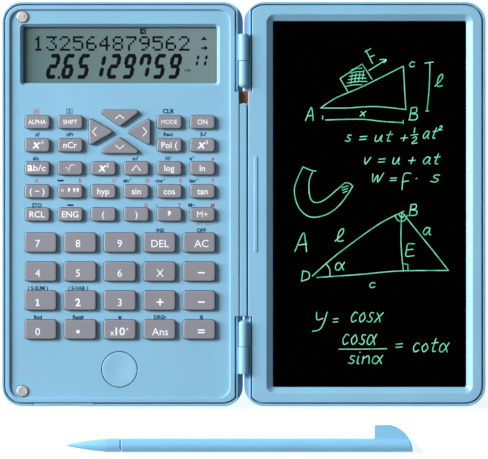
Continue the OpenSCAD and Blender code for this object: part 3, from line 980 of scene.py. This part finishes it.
def legend(bm, string, x, y, z, height, bold=0.006, squeeze=1.0, slant=0.0):
    """Writes a string about (x, y), its capitals height high. Braces hold a raised part."""
    runs = []
    width = 0.0
    raised = False
    for part in string.replace("{", "\0").replace("}", "\0").split("\0"):
        if part:
            mesh = text_mesh(part, bold)
            size = RAISED_SIZE if raised else 1.0
            mesh.transform(Matrix.Scale(size, 4))
            xs = [v.co.x for v in mesh.vertices]
            runs.append((mesh, width - min(xs), RAISED_BY if raised else 0.0))
            width += max(xs) - min(xs) + RUN_GAP
        raised = not raised
    width -= RUN_GAP
    size = height / CAP_HEIGHT
    lean = Matrix.Identity(4)
    lean[0][1] = slant
    for mesh, dx, dy in runs:
        place = Matrix.Translation((x - width * size * squeeze / 2, y - height / 2, z))
        place = place @ Matrix.Diagonal((size * squeeze, size, 1, 1)) @ lean
        mesh.transform(place @ Matrix.Translation((dx, dy, 0)))
        bm.from_mesh(mesh)
        bpy.data.meshes.remove(mesh)


def stroke(bm, points, z, width):
    """An open line with pointed ends, drawn as one flat ribbon. Each lies a hair above the last."""
    z += 0.0002 * (len(bm.faces) % 60)
    points = [Vector(p) for p in points]
    half = width / 2
    sides = []
    for before, after in zip(points[:1] + points, points[1:] + points[-1:]):
        way = (after - before).normalized()
        sides.append(Vector((-way.y, way.x)) * half)
    left = [p + side for p, side in zip(points, sides)]
    right = [p - side for p, side in zip(points, sides)]
    tip = points[-1] + (points[-1] - points[-2]).normalized() * half * 0.8
    tail = points[0] + (points[0] - points[1]).normalized() * half * 0.8
    right, left, ends = ([bm.verts.new((*p, z)) for p in line] for line in (right, left, [tip, tail]))
    for i in range(len(points) - 1):
        bm.faces.new((right[i], right[i + 1], left[i + 1], left[i]))
    bm.faces.new((right[-1], ends[0], left[-1]))
    bm.faces.new((left[0], ends[1], right[0]))


def shape(bm, outline, x, y, z):
    """A flat outline drawn about (x, y)."""
    cap(bm, [bm.verts.new((x + dx, y + dy, z)) for dx, dy in outline])


def plus_outline(arm, width):
    w = width / 2
    quarter = [(w, w), (w, arm), (-w, arm)]
    return [tuple(Matrix.Rotation(math.tau * k / 4, 2) @ Vector(p)) for k in range(4) for p in quarter]


def print_piece(name, body, bm, material):
    """Flat print, given a thickness so that it is a closed solid."""
    made = bmesh.ops.extrude_face_region(bm, geom=bm.faces[:])
    verts = [g for g in made["geom"] if isinstance(g, bmesh.types.BMVert)]
    bmesh.ops.translate(bm, verts=verts, vec=(0, 0, PRINT_T))
    piece(name, body, bm, material, smooth=20)


DIGIT_SHIFT_X = [-1.1, -0.85, 0.0, 0.25, 0.9]
DIGIT_SHIFT_Y = [-0.4, -0.65, -0.8, -0.9]
DIGIT_HEIGHT = 2.95
ONE_OUTLINE = [
    (-0.85, -1.4), (0.85, -1.4), (0.85, -1.0), (0.3, -1.0), (0.3, 1.4), (-0.24, 1.4), (-0.85, 1.05),
    (-0.85, 0.62), (-0.3, 0.82), (-0.3, -1.0), (-0.85, -1.0),
]
TEXT_PARTS = {
    "x10": [("x", -3.1, -0.35, DIGIT_HEIGHT * 0.8), ("10", 0.2, 0.1, DIGIT_HEIGHT * 1.03, 0.02, 1.08),
            ("x", 3.1, 1.3, DIGIT_HEIGHT * 0.5)],
    "ab/c": [("a", -2.9, 0.6, 3.4, 0.03), ("b/c", 1.0, 0.1, 2.5, 0.008, 1.2)],
    "°’”": [("’", dx, -0.75, 3.8, 0.03) for dx in (-0.5, 1.7, 3.1)],
    ",": [("’", 0, -0.9, 4.2, 0.04)],
}
FUNCTION_HEIGHT = {"ALPHA": 1.75, "SHIFT": 1.75, "MODE": 1.75, "ON": 2.0}


def text_parts(bm, string, x, y, z):
    for part, dx, dy, *looks in TEXT_PARTS[string]:
        legend(bm, part, x + dx, y + dy, z, *looks)


def digit_legends():
    top = KEY.z[1]
    for k, (node, string) in enumerate(DIGIT_KEYS):
        box = Box(node)
        x = box.centre.x + DIGIT_SHIFT_X[k % 5]
        y = box.centre.y + DIGIT_SHIFT_Y[k // 5]
        bm = bmesh.new()
        if string in "-=":
            for dy in {"-": [0.15], "=": [0.65, -0.4]}[string]:
                stroke(bm, [(x - 1.3, y + dy), (x + 1.3, y + dy)], top, 0.6)
        elif string == "+":
            shape(bm, plus_outline(1.4, 0.62), x, y + 0.15, top)
        elif string == "•":
            shape(bm, circle(0, 0, 0.75, 20), x, y, top)
        elif string == "1":
            shape(bm, ONE_OUTLINE, x, y, top)
        elif string in TEXT_PARTS:
            text_parts(bm, string, x, y, top)
        else:
            legend(bm, string, x, y, top, DIGIT_HEIGHT, 0.03 if string == "2" else 0.005)
        print_piece("legend_" + node, node, bm, WHITE_INK)


def function_legends():
    top = KEY.z[1]
    single = [(node, [Box(node).centre.xy], [string]) for node, string in UPPER_KEYS]
    rows = [(node, row_centres(node), strings) for node, strings in KEY_ROWS]
    for node, centres, strings in single + rows:
        bm = bmesh.new()
        for (x, y), string in zip(centres, strings):
            function_legend(bm, string, x, y, top)
        print_piece("legend_" + node, node, bm, WHITE_INK)


def function_legend(bm, string, x, y, z):
    if string == "√":
        points = [(-1.9, 0.1), (-1.4, 0.4), (-0.7, -1.4), (0.2, 1.3), (2.0, 1.3)]
        stroke(bm, [(x + dx, y + dy) for dx, dy in points], z, 0.3)
    elif string == "^":
        stroke(bm, [(x - 1.7, y - 1.0), (x, y + 1.2), (x + 1.7, y - 1.0)], z, 0.45)
    elif string.startswith("x{"):
        legend(bm, "x", x - 0.6, y + 0.45, z, 3.5, 0.025, 1.0, 0.25)
        legend(bm, string[2:-1], x + 1.8, y + 1.15, z, 1.45, 0.02)
    elif string in TEXT_PARTS:
        if string[0] == "°":
            ring = circle(x - 3.2, y + 0.3, 0.45, 12)
            stroke(bm, ring + ring[:1], z, 0.22)
        text_parts(bm, string, x, y, z)
    else:
        height = FUNCTION_HEIGHT.get(string, 2.45)
        squeeze = 0.92 if string in FUNCTION_HEIGHT else 1.0
        legend(bm, string, x, y, z, height, 0.0 if "M" in string else 0.012, squeeze)


def chevrons():
    top = KEY.z[1]
    places = {"key_up": (0, 6.1, 0, 1), "key_down": (0, -6.3, 0, -1),
              "key_left": (-10.4, 0, -1, 0), "key_right": (10.3, 0, 1, 0)}
    arm, reach = 1.75, 0.75
    for node, (dx, dy, ux, uy) in places.items():
        x, y = PAD[0] + dx, PAD[1] + dy
        bm = bmesh.new()
        points = [(x + ux * reach * s - uy * arm * t, y + uy * reach * s + ux * arm * t)
                  for s, t in ((-1, 1), (1, 0), (-1, -1))]
        stroke(bm, points, top, 0.4)
        print_piece("legend_" + node, node, bm, WHITE_INK)


SMALL = 1.45
SMALL_BOLD = 0.04
UPPER_LABELS = [
    ("key_mode", "CLR", -0.4, 1.75), ("key_reciprocal", "x!", -0.1, 1.6),
    ("key_combinations", "nPr", -0.1, SMALL), ("key_polar", "Rect", -0.5, SMALL),
    ("key_cube", "3√", 0.3, 1.6),
]
ROW_LABELS = {
    "navy": {
        0: ("d/c", -0.6), 3: ("x√", -0.5), 4: ("10{x}", -0.3), 5: ("e{x}", -4.3), 7: ("←", -4),
        9: ("sin{-1}", -3.8), 10: ("cos{-1}", -3.8), 11: ("tan{-1}", -3.7), 12: ("STO", -0.2),
        13: ("←", 0), 16: (";", -5.2), 17: ("M−", -4.4),
    },
    "red": {
        5: ("e", 4.3), 6: ("A", -0.3), 7: ("B", 4), 8: ("C", 4.4), 9: ("D", 4.5), 10: ("E", 4.6),
        11: ("F", 4.4), 15: ("X", 3.9), 16: ("Y", 4.1), 17: ("M", 4.2),
    },
}
ROW_LABEL_Y = [1.25, 1.6, 1.0]
DIGIT_LABELS = {
    "key_delete": "INS", "key_clear": "OFF", "key_1": "( S-SUM )", "key_2": "( S-VAR )", "key_0": "Rnd",
    "key_point": "Ran#", "key_exponent": "π", "key_answer": "DRG▸", "key_equals": "%",
}


def boxed(bm, x, y, z, upright, level, width):
    """A box of four strokes about (x, y). Each pair is (distance from the middle, reach)."""
    (across, tall), (up, wide) = upright, level
    for side in (-1, 1):
        stroke(bm, [(x + across * side, y - tall), (x + across * side, y + tall)], z, width)
        stroke(bm, [(x - wide, y + up * side), (x + wide, y + up * side)], z, width)


def small_labels():
    """The second functions, printed on the face above the keys in navy and red."""
    inks = {"navy": bmesh.new(), "red": bmesh.new()}
    z = FACE_Z
    half = FUNCTION_SIZE[1] / 2
    for node, string, dx, height in UPPER_LABELS:
        centre = Box(node).centre
        legend(inks["navy"], string, centre.x + dx, centre.y + half + 1.65, z, height, 0.04)
    for node, string, ink in (("key_alpha", "A", inks["red"]), ("key_shift", "S", inks["navy"])):
        x, y = Box(node).centre.x - 0.4, Box(node).centre.y + half + 1.6
        legend(ink, string, x, y, z, 1.4, 0.03)
        boxed(ink, x, y, z, (1.1, 1), (1, 1.2), 0.2)
    centres = [c for node, _ in KEY_ROWS for c in row_centres(node)]
    for colour, labels in ROW_LABELS.items():
        for k, (string, dx) in labels.items():
            x, y = centres[k][0] + dx, centres[k][1] + half + ROW_LABEL_Y[k // 6]
            if string == "←":
                stroke(inks[colour], [(x - 1.1, y), (x + 1.1, y)], z, 0.75)
            else:
                legend(inks[colour], string, x, y, z, SMALL, SMALL_BOLD)
    half = (KEY.size.y - 2 * KEY_FLANGE) / 2
    for k, (node, _) in enumerate(DIGIT_KEYS):
        if node in DIGIT_LABELS:
            centre = Box(node).centre
            x, y = centre.x + DIGIT_SHIFT_X[k % 5], centre.y + half + 1.0
            legend(inks["navy"], DIGIT_LABELS[node], x, y, z, SMALL, SMALL_BOLD)
    x, y = centres[-1]
    legend(inks["red"], "DT  CL", x + 0.6, y - FUNCTION_SIZE[1] / 2 - 0.85, z, 1.2, 0.02)
    print_piece("labels_navy", "calculator", inks["navy"], NAVY_INK)
    print_piece("labels_red", "calculator", inks["red"], RED_INK)


# ---- the display's segments ----

DOT_DIGITS = {
    "1": ["00100", "01100", "00100", "00100", "00100", "00100", "01110"],
    "2": ["01110", "10001", "00001", "00010", "00100", "01000", "11111"],
    "3": ["11111", "00010", "00100", "00010", "00001", "10001", "01110"],
    "4": ["00010", "00110", "01010", "10010", "11111", "00010", "00010"],
    "5": ["11111", "10000", "11110", "00001", "00001", "10001", "01110"],
    "6": ["00110", "01000", "10000", "11110", "10001", "10001", "01110"],
    "7": ["11111", "00001", "00010", "00100", "01000", "01000", "01000"],
    "8": ["01110", "10001", "10001", "01110", "10001", "10001", "01110"],
    "9": ["01110", "10001", "10001", "01111", "00001", "00010", "01100"],
}
SEGMENTS = {
    "1": "bc", "2": "abged", "3": "abgcd", "4": "fgbc", "5": "afgcd", "6": "afgedc", "7": "fabc",
    "8": "abcdefg", "9": "abcdfg",
}
DOT_LINE = "132564879562"
SEGMENT_LINE = "265129759"
LCD_Z = Box("display_panel").z[1]
LCD_MARKS = [
    ((14.1, 20.8), [(0, -0.45), (1.0, -0.45), (1.15, 0.6), (0.15, 0.6)]),
    ((74.3, 4.75), [(-1.3, -0.6), (1.3, -0.6), (0, 0.9)]),
    ((74.5, 8.65), [(0, -1.1), (1.4, 0), (0, 1.1)]),
    ((74.5, 8.65), [(-1.4, -0.35), (0, -0.35), (0, 0.35), (-1.4, 0.35)]),
]


def lcd_place(dx, dy):
    """A point of the display, measured from its window's upper left corner."""
    return LENS.x[0] + LENS_LIP + dx, LENS.y[1] - LENS_LIP - dy


def polygon(bm, points):
    bm.faces.new([bm.verts.new((x, y, LCD_Z)) for x, y in points])


def mark(bm, place, points):
    """A filled shape, its points measured from a place of the display."""
    x, y = lcd_place(*place)
    polygon(bm, [(x + dx, y + dy) for dx, dy in points])


def dot_digit(bm, digit, dx, dy):
    pitch_x, pitch_y = 0.87, 0.86
    dot = [(0, -0.87), (0.87, -0.87), (0.87, 0), (0, 0)]
    for row, bits in enumerate(DOT_DIGITS[digit]):
        for col, bit in enumerate(bits):
            if bit == "1":
                mark(bm, (dx + col * pitch_x, dy + row * pitch_y), dot)


def segment_digit(bm, digit, dx, dy, width, height, bar):
    """One slanted seven-segment digit whose upper left corner is at (dx, dy)."""
    slant = 0.2
    half, tip = height / 2, bar / 2
    gap = 0.22

    def flat(level):
        return [(tip * 0.4 + gap, level), (tip + gap, level + tip), (width - tip - gap, level + tip),
                (width - tip * 0.4 - gap, level), (width - tip - gap, level - tip),
                (tip + gap, level - tip)]

    def upright(across, low, high):
        return [(across, low + gap), (across + tip, low + tip + gap), (across + tip, high - tip - gap),
                (across, high - gap), (across - tip, high - tip - gap), (across - tip, low + tip + gap)]

    shapes = {
        "a": flat(height - tip), "g": flat(half), "d": flat(tip),
        "f": upright(tip, half, height - tip * 0.6), "b": upright(width - tip, half, height - tip * 0.6),
        "e": upright(tip, tip * 0.6, half), "c": upright(width - tip, tip * 0.6, half),
    }
    for name in SEGMENTS[digit]:
        slanted = [(dx + px + slant * (py - half), dy + height - py) for px, py in shapes[name]]
        polygon(bm, [lcd_place(*p) for p in slanted])


def display_content():
    bm = bmesh.new()
    for k, digit in enumerate(DOT_LINE):
        dot_digit(bm, digit, 4.0 + k * 5.45, 3.75)
    for k, digit in enumerate(SEGMENT_LINE):
        segment_digit(bm, digit, 9.9 + k * 6.25, 11.0, 4.75, 10.3, 1.65)
    for k in range(2):
        segment_digit(bm, "1", 68.5 + k * 3.4, 10.95, 3.6, 5.5, 1.0)
    for place, points in LCD_MARKS:
        mark(bm, place, points)
    x, y = lcd_place(67.45, 17.8)
    legend(bm, "×10", x, y, LCD_Z, 1.1, 0.03)
    x, y = lcd_place(49.2, 1.75)
    boxed(bm, x, y, LCD_Z, (1, 1.1), (1, 1.1), 0.36)
    legend(bm, "D", x, y, LCD_Z, 1.4, 0.05)
    print_piece("display_segments", "calculator", bm, SEGMENT_INK)


# ---- handwriting on the writing panel, in this file's own letter shapes ----

# Strokes of each letter, in hundredths of its height.
GLYPHS = {
    "A": [[(0, 0), (32, 95), (50, 55), (62, 0)], [(14, 34), (58, 40)]],
    "B": [[(10, 92), (6, 0)],
          [(8, 90), (45, 92), (45, 58), (12, 50), (55, 40), (52, 6), (2, 2)]],
    "C": [[(55, 85), (28, 92), (5, 50), (20, 3), (60, 12)]],
    "D": [[(10, 88), (8, 0)], [(8, 86), (50, 74), (56, 25), (6, 2)]],
    "E": [[(50, 90), (10, 88), (6, 45), (8, 0), (55, 4)], [(8, 46), (45, 50)]],
    "F": [[(62, 94), (12, 88), (2, 0)], [(7, 46), (48, 52)]],
    "W": [[(0, 85), (16, 2), (42, 70), (56, 2), (86, 92)]],
    "a": [[(48, 50), (24, 58), (3, 25), (20, 2), (44, 30), (49, 55)],
          [(48, 50), (50, 8), (62, 4)]],
    "c": [[(42, 50), (20, 56), (4, 28), (18, 2), (44, 12)]],
    "g": [[(62, 58), (30, 3), (5, 12), (10, 45), (32, 50), (62, 0)]],
    "i": [[(10, 52), (8, 6), (18, 2)], [(14, 76), (16, 80)]],
    "l": [[(0, 8), (34, 62), (34, 98), (16, 75), (14, 12), (42, 14)]],
    "n": [[(4, 52), (2, 0)], [(4, 34), (30, 54), (40, 36), (42, 2)]],
    "o": [[(26, 55), (4, 30), (20, 2), (44, 24), (26, 55)]],
    "s": [[(36, 52), (16, 54), (12, 36), (34, 20), (24, 2), (0, 8)]],
    "t": [[(26, 85), (18, 10), (40, 6)], [(2, 54), (46, 60)]],
    "u": [[(2, 52), (2, 10), (24, 5), (44, 54)],
          [(44, 54), (44, 10), (56, 4)]],
    "v": [[(2, 52), (16, 2), (46, 56)]],
    "x": [[(4, 52), (26, 30), (42, 2)], [(50, 54), (20, 24), (0, 0)]],
    "y": [[(4, 55), (12, 20), (34, 26)], [(46, 56), (34, -20), (2, -36)]],
    "=": [[(0, 40), (50, 44)], [(0, 16), (50, 20)]],
    "+": [[(0, 28), (50, 32)], [(26, 56), (24, 4)]],
    ".": [[(8, 26), (12, 30)]],
    "1": [[(10, 50), (10, 0)]],
    "2": [[(2, 42), (20, 55), (24, 32), (0, 0), (34, 4)]],
    "-": [[(0, 30), (50, 32)]],
    " ": [],
}
STROKE_W = 0.29
WRITTEN_W = 0.31
LETTER_GAP = 0.2


def curved(points, steps=6):
    """A smooth line through the points."""
    if len(points) < 3:
        return points
    ends = [points[0]] + points + [points[-1]]
    line = []
    for i in range(len(points) - 1):
        p = [Vector(q) for q in ends[i:i + 4]]
        for k in range(steps):
            t = k / steps
            line.append(tuple(0.5 * (
                2 * p[1] + (p[2] - p[0]) * t + (2 * p[0] - 5 * p[1] + 4 * p[2] - p[3]) * t * t
                + (3 * p[1] - p[0] - 3 * p[2] + p[3]) * t ** 3)))
    return line + [points[-1]]


def hand_lines(bm, lines, width=STROKE_W):
    for points in lines:
        stroke(bm, curved(points), FILM.z[1], width)


def letters(bm, rows, across):
    """Single letters, each a row of (letter, x, y, height)."""
    for string, x, y, height in rows:
        written(bm, string, x, y, height * across, height, 0.12)


def written(bm, string, x, y, width, height, lean=0.15):
    """Writes a string with its baseline's start at (x, y), to a given width in all."""
    advance = 0.0
    starts = []
    for letter in string:
        lines = [[(px / 100, py / 100) for px, py in line] for line in GLYPHS[letter]]
        xs = [px for line in lines for px, _ in line] or [0.0, 0.25]
        starts.append((lines, advance - min(xs)))
        advance += max(xs) - min(xs) + LETTER_GAP
    across = width / max(advance - LETTER_GAP, 0.1)
    for lines, start in starts:
        hand_lines(bm, [[(x + (start + px) * across + lean * py * height, y + py * height)
                         for px, py in line] for line in lines], WRITTEN_W)


def incline_sketch(bm):
    """A block pulled up an incline, with its dimensions."""
    foot, right, peak = (31.6, 39.4), (66.6, 38.8), (65.6, 56.6)
    hand_lines(bm, [
        [foot, (38.0, 43.6), (49.0, 48.3), peak],
        [foot, (42.0, 39.4), (54.0, 40.0), right],
        [peak, (66.1, 47.0), right],
    ])
    stroke(bm, [(39.6, 51.5), (48.7, 57.5), (52.7, 51.2)], FILM.z[1], STROKE_W)
    hand_lines(bm, [[(39.6, 51.5), (42.8, 46.1)]])
    for k in range(6):
        y = 48.6 + 1.35 * k
        x0, x1 = 42.0 + 0.45 * k, 51.2 - 0.5 * k - 2.6 * (k == 0)
        hand_lines(bm, [[(x0, y - 0.3), ((x0 + x1) / 2, y + 0.3), (x1, y + 0.35)]], 0.26)
    for k in range(4):
        hand_lines(bm, [[(44.0 + 1.6 * k, 49.4 + 0.6 * k), (44.6 + 1.6 * k, 53.2 + 0.6 * k)]], 0.2)
    hand_lines(bm, [
        [(51.4, 54.8), (58.5, 59.2)], [(55.8, 59.3), (58.6, 59.2), (57.5, 58.0)],
        [(50.2, 63.1), (53.0, 57.6)], [(49.8, 62.4), (52.2, 63.8)], [(52.0, 60.4), (53.7, 61.1)],
    ])
    letters(bm, [("A", 25.4, 34.2, 5.6), ("B", 67.8, 34.4, 5.6), ("c", 68.0, 56.2, 3.8),
                 ("l", 78.4, 47.8, 5.6), ("x", 47.8, 36.0, 3.8)], 0.56)
    hand_lines(bm, [
        [(76.5, 57.8), (76.2, 48.0), (75.3, 38.3)], [(74.4, 57.8), (77.9, 58.3)],
        [(74.7, 38.1), (76.0, 38.2)], [(33.6, 34.5), (48.0, 34.8), (57.0, 33.9), (65.6, 33.4)],
        [(32.5, 36.2), (32.4, 34.8)], [(65.5, 34.4), (65.5, 32.9)],
    ])


def horseshoe_sketch(bm):
    """A horseshoe magnet, its right pole marked with short dashes."""
    outer = [(24.4, 15.3), (22.1, 10.4), (20.8, 5.2), (22.6, -1.4), (27.0, -5.2), (33.0, -4.7),
             (38.3, -1.5), (42.3, 3.3), (44.8, 7.3)]
    inner = [(28.4, 13.4), (27.0, 9.8), (26.9, 4.6), (28.0, 1.4), (30.4, 0.6), (33.7, 2.0), (38.2, 5.8),
             (41.6, 8.7)]
    poles = [[outer[0], (27.2, 14.0), (29.7, 13.5)], [inner[-1], (43.4, 8.5), outer[-1]]]
    hand_lines(bm, [outer, inner] + poles)
    for k in range(3):
        hand_lines(bm, [[(40.2 + 0.3 * k, 6.6 - 1.0 * k), (42.9 - 0.2 * k, 7.5 - 1.1 * k)]], 0.28)


def triangle_sketch(bm):
    """A triangle with its height, its marked angles and its letters."""
    apex, left, right, foot = (64.9, -3.2), (28.2, -29.6), (84.1, -27.3), (65.6, -27.7)
    hand_lines(bm, [
        [left, (38.0, -21.0), (55.0, -8.6), (65.8, -3.0)],
        [apex, (70.0, -9.6), (77.6, -19.0), right],
        [(30.0, -30.2), (48.0, -28.9), (64.0, -27.5), right],
        [apex, (64.6, -16.0), foot],
    ])
    stroke(bm, [(65.4, -24.5), (67.4, -24.8), (67.5, -27.3)], FILM.z[1], STROKE_W)
    hand_lines(bm, [
        [(33.8, -24.4), (35.3, -26.8), (35.4, -29.8)],
        [(62.2, -4.8), (63.4, -6.8), (66.0, -6.8), (67.2, -4.6)],
    ])
    hand_lines(bm, [[(63.6, -4.0), (64.9, -5.6), (66.2, -4.4)]], 0.42)
    letters(bm, [("A", 21.0, -19.6, 8.0), ("l", 37.4, -15.8, 5.8), ("B", 67.8, -4.8, 5.0),
                 ("a", 73.6, -12.8, 5.4), ("E", 66.6, -21.4, 5.6), ("g", 37.6, -27.2, 5.8),
                 ("D", 23.6, -31.8, 5.0), ("c", 51.6, -34.4, 3.8)], 0.6)


MOTION_FORMULAS = [
    ("2", 69.0, 24.9, 2.2, 5.0, 0.15), ("at", 73.4, 26.8, 5.4, 5.4, 0.3),
    ("2", 80.0, 30.4, 1.5, 3.2, 0.3), ("v = u + at", 49.2, 16.3, 30.8, 5.2, 0.25),
    ("W =", 52.2, 8.9, 10.2, 4.2, 0.25), ("F", 65.0, 5.8, 3.4, 7.2, 0.05),
    (". s", 70.4, 8.9, 9.4, 5.6, 0.25), ("y", 28.8, -49.2, 4.6, 8.6, 0.2),
    ("=", 36.6, -49.4, 2.0, 5.4, 0.1), ("cosx", 43.8, -48.6, 12.6, 7.4, 0.25),
    ("cosg", 40.4, -57.8, 13.4, 7.6, 0.2),
]
QUOTIENT_FORMULAS = [
    ("sing", 42.8, -65.6, 13.8, 6.0, 0.15), ("=", 62.4, -59.8, 2.6, 5.6, 0.1),
    ("cotg", 69.4, -60.8, 14.2, 6.6, 0.2),
]


def formulas(bm):
    """School formulas in a quick hand."""
    written(bm, "s = ut +", 41.6, 25.6, 25.4, 5.0, 0.25)
    written(bm, "1", 70.0, 29.2, 0.6, 4.2)
    hand_lines(bm, [[(68.6, 28.2), (71.6, 28.6)]])
    for row in MOTION_FORMULAS:
        written(bm, *row)
    hand_lines(bm, [[(39.1, -59.6), (48.0, -59.6), (58.8, -59.4)]])
    for row in QUOTIENT_FORMULAS:
        written(bm, *row)


def handwriting():
    bm = bmesh.new()
    for draw in (incline_sketch, horseshoe_sketch, triangle_sketch, formulas):
        draw(bm)
    print_piece("panel_drawing", "tablet", bm, STROKE)


# ---- floor, light and camera ----

def lamp(name, place, energy, size):
    """A square lamp that looks at the middle of the object."""
    data = bpy.data.lights.new(name, "AREA")
    data.energy = energy
    data.size = size
    obj = placed(name, data)
    obj.location = place
    obj.rotation_euler = (-Vector(place)).to_track_quat("-Z", "Y").to_euler()


def studio():
    """A pale floor, a soft key light from the upper left and an even white surround."""
    mesh = bpy.data.meshes.new("floor")
    reach = 3.0
    mesh.from_pydata([(-reach, -reach, 0), (reach, -reach, 0), (reach, reach, 0), (-reach, reach, 0)],
                     [], [(0, 1, 2, 3)])
    pale, paler = (0.96, 0.96, 0.96, 1), (0.98, 0.98, 0.98, 1)
    paper = Shader("floor_paper", paler, 0.9, Emission_Color=(1, 1, 1, 1), Emission_Strength=0.7)
    paper.tint(paper.noise(12, 2), pale, paler)
    mesh.materials.append(paper.material)
    floor = placed("floor", mesh)
    world = bpy.data.worlds.new("studio")
    world.use_nodes = True
    background = world.node_tree.nodes["Background"].inputs
    background["Color"].default_value = (0.92, 0.96, 1, 1)
    background["Strength"].default_value = 0.2
    bpy.context.scene.world = world
    lamp("key_light", (-2.0, 1.1, 1.6), 82.5, 0.8)
    lamp("left_strip", (-2.75, 0.45, 1.1), 75.5, 0.9)


def camera():
    """Looks straight down through a long lens, as wide as the opened case."""
    data = bpy.data.cameras.new("camera")
    data.sensor_width = 36
    data.lens = 250
    view_width = 200.1 * MM
    distance = view_width * data.lens / data.sensor_width
    obj = placed("camera", data)
    obj.location = (0.00016, -0.0009, distance + RIM_Z * MM)
    bpy.context.scene.camera = obj
    bpy.context.scene.view_settings.view_transform = "Standard"


# ---- the whole object ----

dress_kept_nodes()
calculator_tray()
tablet_tray()
calculator_face()
tablet_frame()
key_caps()
erase_button()
closing_magnets()
feet()
battery_drawer()
coin_cell()
spine_cover()
flex_ribbon()
stylus_tip()
stylus_barrel()
digit_legends()
function_legends()
chevrons()
small_labels()
display_content()
handwriting()
studio()
camera()
